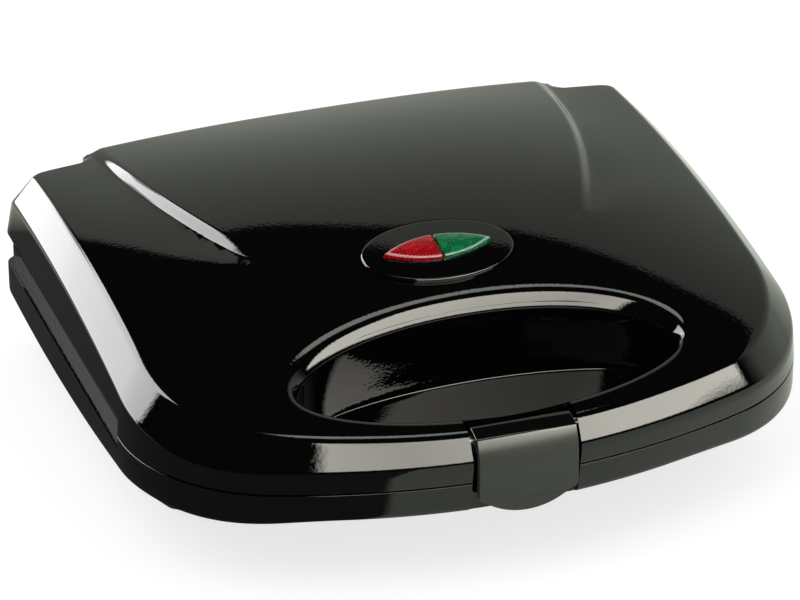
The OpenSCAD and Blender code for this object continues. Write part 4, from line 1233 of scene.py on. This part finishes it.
def clip_side(thickness):
    """Side view of the clip from the flat of its face over the crown to the eye, as (y, z) points."""
    face, back = CLIP_FACE_Y, CLIP_FACE_Y + thickness
    flat_low, bow_low, setback, bow_steps = 5.0, 6.0, 2.6, 9
    lean, wrap = math.radians(104), math.radians(249)

    def on_eye(turn):
        return LATCH_Y + EYE_R * math.cos(turn), LATCH_Z + EYE_R * math.sin(turn)

    crest = on_eye(lean)
    brow = crest[1] - (crest[0] - face - setback) * math.tan(lean - math.pi / 2)
    side = [(back, flat_low), (face, flat_low)]
    for k in range(1, bow_steps):
        side.append((face + setback * (k / bow_steps) ** 2, bow_low + (brow - bow_low) * k / bow_steps))
    side += rounded([side[-1], (face + setback, brow), crest], [1.5], 6)[1:]
    side += [on_eye(lean - wrap * k / 24) for k in range(1, 25)]
    return side + [(back + 1.1, 11.0), (back + 0.4, 10.2), (back, 8.8)]


def slab(form, name, outline, rear, front):
    """An upright plate between two places in depth, from its (x, z) outline."""
    return loft(name, [[form.world((x, y, z)) for x, z in outline] for y in (rear, front)])


def build_clip(form, fittings):
    """Latch clip: eye, crown, face with rounded corners, finger tab and hook."""
    half = fittings.clip_width / MM / 2
    thickness = fittings.clip_thickness / MM
    face, back = CLIP_FACE_Y, CLIP_FACE_Y + thickness
    drop, corner = 6.6, 2.5
    tab_drop, tab_half, tab_setback = 5.3, 14.8, 0.7
    side = clip_side(thickness)
    clip = loft("clip", [[form.world((x, y, z)) for y, z in side] for x in (-half, half)])
    bevel_edges(clip, 0.4, 3, 50)
    edge = [(half, 5.6), (half, corner - drop)]
    for k in range(1, 7):
        a = math.radians(-90 * k / 6)
        edge.append((half - corner + corner * math.cos(a), corner - drop + corner * math.sin(a)))
    edge.append((0.0, -drop))
    plate = slab(form, "clip_face", edge + [(-x, z) for x, z in edge[-2::-1]], back, face)
    bevel_edges(plate, 0.4, 3, 50)
    tab_r = (tab_half**2 + tab_drop**2) / (2 * tab_drop)
    turn = math.asin(tab_half / tab_r)
    turns = [turn * (1 - k / 12) for k in range(25)]
    arc = [(tab_r * math.sin(a), tab_r - tab_drop - drop - tab_r * math.cos(a)) for a in turns]
    outline = [(tab_half, 1.0 - drop), *arc, (-tab_half, 1.0 - drop)]
    tab = slab(form, "clip_tab", outline, back - 0.1, face + tab_setback)
    bevel_edges(tab, 0.3, 3, 50)
    hook = block(form, corner - half, half - corner, face + thickness / 2, -119.1, -drop, -4.85)
    bevel_edges(hook, 0.3, 3)
    add(clip, plate, tab, hook)
    cut(clip, rod(form, "X", LATCH_BORE_R, (-half - 1, LATCH_Y, LATCH_Z), 2 * half + 2))
    return smooth(clip, 40)


def build_foot(form, name, x, y):
    """Rubber foot with a rounded rim, a dished sole and a stem."""
    profile = [  # radius and height
        (4.6, -37.4), (5.4, -37.9), (6.2, -38.0), (6.75, -37.9), (7.05, -37.5),
        (7.95, -34.3), (7.9, -34.0), (3.0, -34.0), (3.0, -32.3), (2.6, -32.05),
    ]
    turns = [math.tau * k / 64 for k in range(64)]
    rings = [[form.world((x + r * math.cos(t), y + r * math.sin(t), z)) for t in turns] for r, z in profile]
    return smooth(loft(name, rings), 35)


# Operators


def settings():
    """The sizes and colours as they stand in the scene."""
    scene = bpy.context.scene
    return scene.toaster_housing, scene.toaster_fittings, scene.toaster_colours


class TOASTER_OT_lid(bpy.types.Operator):
    """Build the domed lid cover with its raised panel, grip recess and notch"""

    bl_idname = "toaster.lid"
    bl_label = "Lid cover"

    def execute(self, context):
        housing, fittings, colours = settings()
        form = Form(housing)
        dress(build_lid(form, fittings), "lid", [housing_black(colours)], "lid_shell")
        return {"FINISHED"}


class TOASTER_OT_base(bpy.types.Operator):
    """Build the base tray with its deck, plate bay, vents and knuckles, and the four feet"""

    bl_idname = "toaster.base"
    bl_label = "Base tray and feet"

    def execute(self, context):
        housing, _, colours = settings()
        form = Form(housing)
        dress(build_base(form), "base", [housing_black(colours)], "base_shell")
        grip = rubber("foot_rubber", (0.02, 0.02, 0.021))
        for k, (x, y) in enumerate(FEET, 1):
            dress(build_foot(form, f"rubber_foot_{k}", x, y), "base", [grip], f"foot_{k}")
        return {"FINISHED"}


class TOASTER_OT_plates(bpy.types.Operator):
    """Build the two cast plates with their triangular pockets"""

    bl_idname = "toaster.plates"
    bl_label = "Cast plates"

    def execute(self, context):
        housing, _, colours = settings()
        form = Form(housing)
        cast = coating("plate_coating", colours.coating)
        dress(build_plate(form, "cast_plate_upper", 1), "lid", [cast], "upper_plate")
        dress(build_plate(form, "cast_plate_lower", -1), "base", [cast], "lower_plate")
        return {"FINISHED"}


class TOASTER_OT_lights(bpy.types.Operator):
    """Build the oval bezel and the red and green lenses"""

    bl_idname = "toaster.lights"
    bl_label = "Indicator lights"

    def execute(self, context):
        housing, fittings, colours = settings()
        form = Form(housing)
        _, _, tilt = bezel_frame(form)
        dress(build_bezel(form, fittings), "lid", [housing_black(colours)], "indicator_bezel")
        for name, node, side, base in (
            ("lens_red", "red_lens", -1, colours.red),
            ("lens_green", "green_lens", 1, colours.green),
        ):
            clear = lens_plastic(name + "_plastic", base, tilt)
            # The pale rim material is a painted highlight along the lenses' rounded rims.
            rim = pale_plastic(name + "_rim", [0.25 + 0.75 * c for c in base], 0.15)
            lens = dress(build_lens(form, fittings, name, side), "lid", [clear, rim], node)
            paint_lens_rim_highlight(form, lens)
        return {"FINISHED"}


class TOASTER_OT_clip(bpy.types.Operator):
    """Build the latch clip with its finger tab"""

    bl_idname = "toaster.clip"
    bl_label = "Latch clip"

    def execute(self, context):
        housing, fittings, colours = settings()
        form = Form(housing)
        crown = form.world((0, 0, 14.5)).z
        black = clip_plastic("satin_black", colours.clip, crown)
        dress(build_clip(form, fittings), "latch", [black], "latch_clip")
        return {"FINISHED"}


class TOASTER_OT_inner(bpy.types.Operator):
    """Give the heaters, pans, screws, pins and wiring pieces of the CAD model their finishes"""

    bl_idname = "toaster.inner"
    bl_label = "Inner pieces"

    def execute(self, context):
        tube = metal("heater_tube", (0.26, 0.25, 0.24), 0.42, (1, 1, 0.1), 0.6)
        sheet = metal("pan_sheet", (0.62, 0.62, 0.61), 0.3, (0.05, 1, 1), 0.25)
        steel = metal("zinc_steel", (0.66, 0.66, 0.67), 0.24, (0.1, 1, 1), 0.1)
        black = satin_plastic("inlet_black", (0.014, 0.014, 0.014), 0.5)
        pale = pale_plastic("pale_moulding", (0.72, 0.7, 0.64))
        ceramic = pale_plastic("ceramic_body", (0.6, 0.54, 0.44), 0.62)
        sleeve = pale_plastic("fuse_sleeve", (0.78, 0.72, 0.5), 0.7)
        finishes = {
            "heater": tube,
            "reflector": sheet,
            "screw": steel,
            "pin": steel,
            "cord": black,
            "terminal": pale,
            "holder": pale,
            "thermostat": ceramic,
            "fuse": sleeve,
            "red_lamp": lamp_glass("neon_red", (0.8, 0.25, 0.12)),
            "green_lamp": lamp_glass("neon_green", (0.35, 0.75, 0.4)),
        }
        for name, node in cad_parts.items():
            for word, finish in finishes.items():
                if word in name:
                    node.data.materials.clear()
                    node.data.materials.append(finish)
        return {"FINISHED"}


class TOASTER_OT_stage(bpy.types.Operator):
    """Set the pale floor, the soft studio light and the camera"""

    bl_idname = "toaster.stage"
    bl_label = "Stage"

    def execute(self, context):
        _, _, colours = settings()
        set_floor(colours.floor)
        set_sky()
        set_lamps()
        set_camera()
        context.scene.view_settings.view_transform = "Standard"
        return {"FINISHED"}


def set_floor(base):
    """A wide pale floor, which the camera sees as white with the toaster's soft shadow.

    Glossy rays see a painted reflection of it instead: a slight tint, and a painted dark patch along the
    toaster's left side that stands in for shade.
    """
    deselect()
    bpy.ops.mesh.primitive_grid_add(x_subdivisions=4, y_subdivisions=4, size=12, location=(0, 0, -0.0002))
    floor = settle(named("floor"))
    finish = Finish("floor_paper", base, 0.9, Specular_IOR_Level=0.0)
    fibre = finish.noise(45.0, 3.0)
    paper = finish.blend(fibre, tone(base, 0.99), tone(base, 1.01))
    x, y, _ = finish.axes()
    # Painted reflection: only glossy rays see this, a dark patch under the toaster's left side standing in
    # for shade, and a slight tint elsewhere.
    painted_dark_reflection = (1 - x.above(-0.045, 0.004)) * (1 - y.above(0.2, 0.03))
    painted_reflection_tint = tone((0.93, 1.0, 0.85), base[0])
    mirrored = finish.blend(painted_dark_reflection, painted_reflection_tint, (0.08, 0.083, 0.078, 1.0))
    finish.set("Base Color", finish.blend(finish.ray("Is Glossy Ray"), paper, mirrored))
    glow = finish.add("ShaderNodeEmission", {}, {"Color": (1, 1, 1, 1), "Strength": 1.22})
    finish.end(finish.mix(finish.ray("Is Camera Ray") * 0.62, finish.shader, glow))
    floor.data.materials.append(finish.material)


def set_sky():
    """Plain light for matt surfaces, white for the camera, and a studio of screens for glossy ones.

    A screen is placed by its way round the toaster, 0 behind it and 90 to its right, and by its
    rise above the floor, both in degrees.
    """
    world = bpy.data.worlds.new("studio")
    bpy.context.scene.world = world
    sky = Nodes(world, "ShaderNodeOutputWorld")
    x, y, z = sky.split(sky.add("ShaderNodeTexCoord", {}, {}, "Generated"))
    rise = z.math("ARCSINE") * (180 / math.pi)
    way = x.math("ARCTAN2", y) * (180 / math.pi)

    def window(value, low, high, soft):
        return value.above(low, soft) * (1 - value.above(high, soft))

    # The backdrop stands behind and to the right, and its upper edge falls away to either side
    facing = math.radians(46)
    under_edge = 0.91 * (math.sin(facing) * x + math.cos(facing) * y) - z
    backdrop = window(way, -75, 100, 14) * under_edge.above(0.0, 0.02)
    backdrop = backdrop * (0.72 - rise * 0.0088).clamp(0.3, 0.8)
    # The left screen is dimmed where the groove beside the raised panel would mirror it
    dim = window(way, -23, -8, 2) * window(rise, 23, 31, 2)
    left = window(way, -62, -13, 3) * window(rise, 2, 46, 3) * (8.6 - 6.0 * dim)
    # The front screen goes round from the right, slants at that end, and is weaker at the front
    slanted = way - (rise - 15).clamp(0.0, 30.0)
    front = (slanted.above(112, 4) + (1 - way.above(-163, 4))).clamp() * window(rise, 12, 52, 4)
    front = front * (11.4 - (way.size() - 140) * 0.1).clamp(7.5, 11.0)
    top = window(rise, 68, 86, 2) * window(way, 4, 84, 12) * 3.5

    cool, warm, white = (0.95, 1.0, 0.88, 1.0), (1.0, 0.965, 0.86, 1.0), (1.0, 1.0, 1.0, 1.0)
    tint = sky.blend(left.clamp(), sky.blend(front.clamp(), cool, warm), white)
    strength = backdrop + left + front + top + 0.006
    plain = sky.add("ShaderNodeBackground", {}, {"Color": white, "Strength": 0.75})
    screens = sky.add("ShaderNodeBackground", {}, {"Color": tint, "Strength": strength})
    seen = sky.add("ShaderNodeBackground", {}, {"Color": white, "Strength": 1.0})
    lit = sky.mix(sky.ray("Is Glossy Ray"), plain, screens)
    sky.end(sky.mix(sky.ray("Is Camera Ray"), lit, seen))


def set_lamps():
    """Two wide soft lamps that give the floor its shadow."""
    target = Vector((0, 0, 0.03))
    for name, place, size, power in (
        ("key", (-0.9, -0.5, 1.5), 1.2, 9.0),
        ("fill", (1.0, -0.4, 1.3), 1.4, 5.0),
    ):
        deselect()
        bpy.ops.object.light_add(type="AREA", location=place)
        lamp = bpy.context.active_object
        lamp.name = name
        lamp.data.shape = "SQUARE"
        lamp.data.size = size
        lamp.data.energy = power
        lamp.rotation_euler = (target - Vector(place)).to_track_quat("-Z", "Y").to_euler()
        lamp.visible_glossy = False


def set_camera():
    """The camera at the photograph's place and angle."""
    place = Vector((-0.4459, -1.2857, 0.7738))
    turn, lift, roll = math.radians(-18.931), math.radians(28.137), math.radians(-0.343)
    back = Vector((math.sin(turn) * math.cos(lift), -math.cos(turn) * math.cos(lift), math.sin(lift)))
    level = Vector((math.cos(turn), math.sin(turn), 0))
    upright = back.cross(level)
    right = level * math.cos(roll) + upright * math.sin(roll)
    up = upright * math.cos(roll) - level * math.sin(roll)
    deselect()
    bpy.ops.object.camera_add()
    camera = bpy.context.active_object
    camera.name = "photo_camera"
    camera.matrix_world = Matrix.Translation(place) @ Matrix((right, up, back)).transposed().to_4x4()
    camera.data.sensor_fit = "HORIZONTAL"
    camera.data.sensor_width = 36.0
    camera.data.lens = 208.025
    camera.data.clip_start = 0.05
    camera.data.clip_end = 50.0
    bpy.context.scene.camera = camera


STEPS = [
    TOASTER_OT_stage,
    TOASTER_OT_lid,
    TOASTER_OT_base,
    TOASTER_OT_plates,
    TOASTER_OT_lights,
    TOASTER_OT_clip,
    TOASTER_OT_inner,
]


class TOASTER_PT_panel(bpy.types.Panel):
    """Lists the toaster's sizes and the steps that build it"""

    bl_idname = "TOASTER_PT_panel"
    bl_label = "Toaster"
    bl_space_type = "VIEW_3D"
    bl_region_type = "UI"
    bl_category = "Toaster"

    def draw(self, context):
        for group in settings():
            box = self.layout.box()
            for name in group.bl_rna.properties.keys():
                if name not in ("rna_type", "name"):
                    box.prop(group, name)
        for step in STEPS:
            self.layout.operator(step.bl_idname)


GROUPS = [ToasterHousing, ToasterFittings, ToasterColours]


def register():
    for each in GROUPS + STEPS + [TOASTER_PT_panel]:
        bpy.utils.register_class(each)
    bpy.types.Scene.toaster_housing = PointerProperty(type=ToasterHousing)
    bpy.types.Scene.toaster_fittings = PointerProperty(type=ToasterFittings)
    bpy.types.Scene.toaster_colours = PointerProperty(type=ToasterColours)


def unregister():
    del bpy.types.Scene.toaster_housing
    del bpy.types.Scene.toaster_fittings
    del bpy.types.Scene.toaster_colours
    for each in reversed(GROUPS + STEPS + [TOASTER_PT_panel]):
        bpy.utils.unregister_class(each)


def main():
    register()
    for step in STEPS:
        group, name = step.bl_idname.split(".")
        getattr(getattr(bpy.ops, group), name)()
    deselect()


if __name__ == "__main__":
    main()
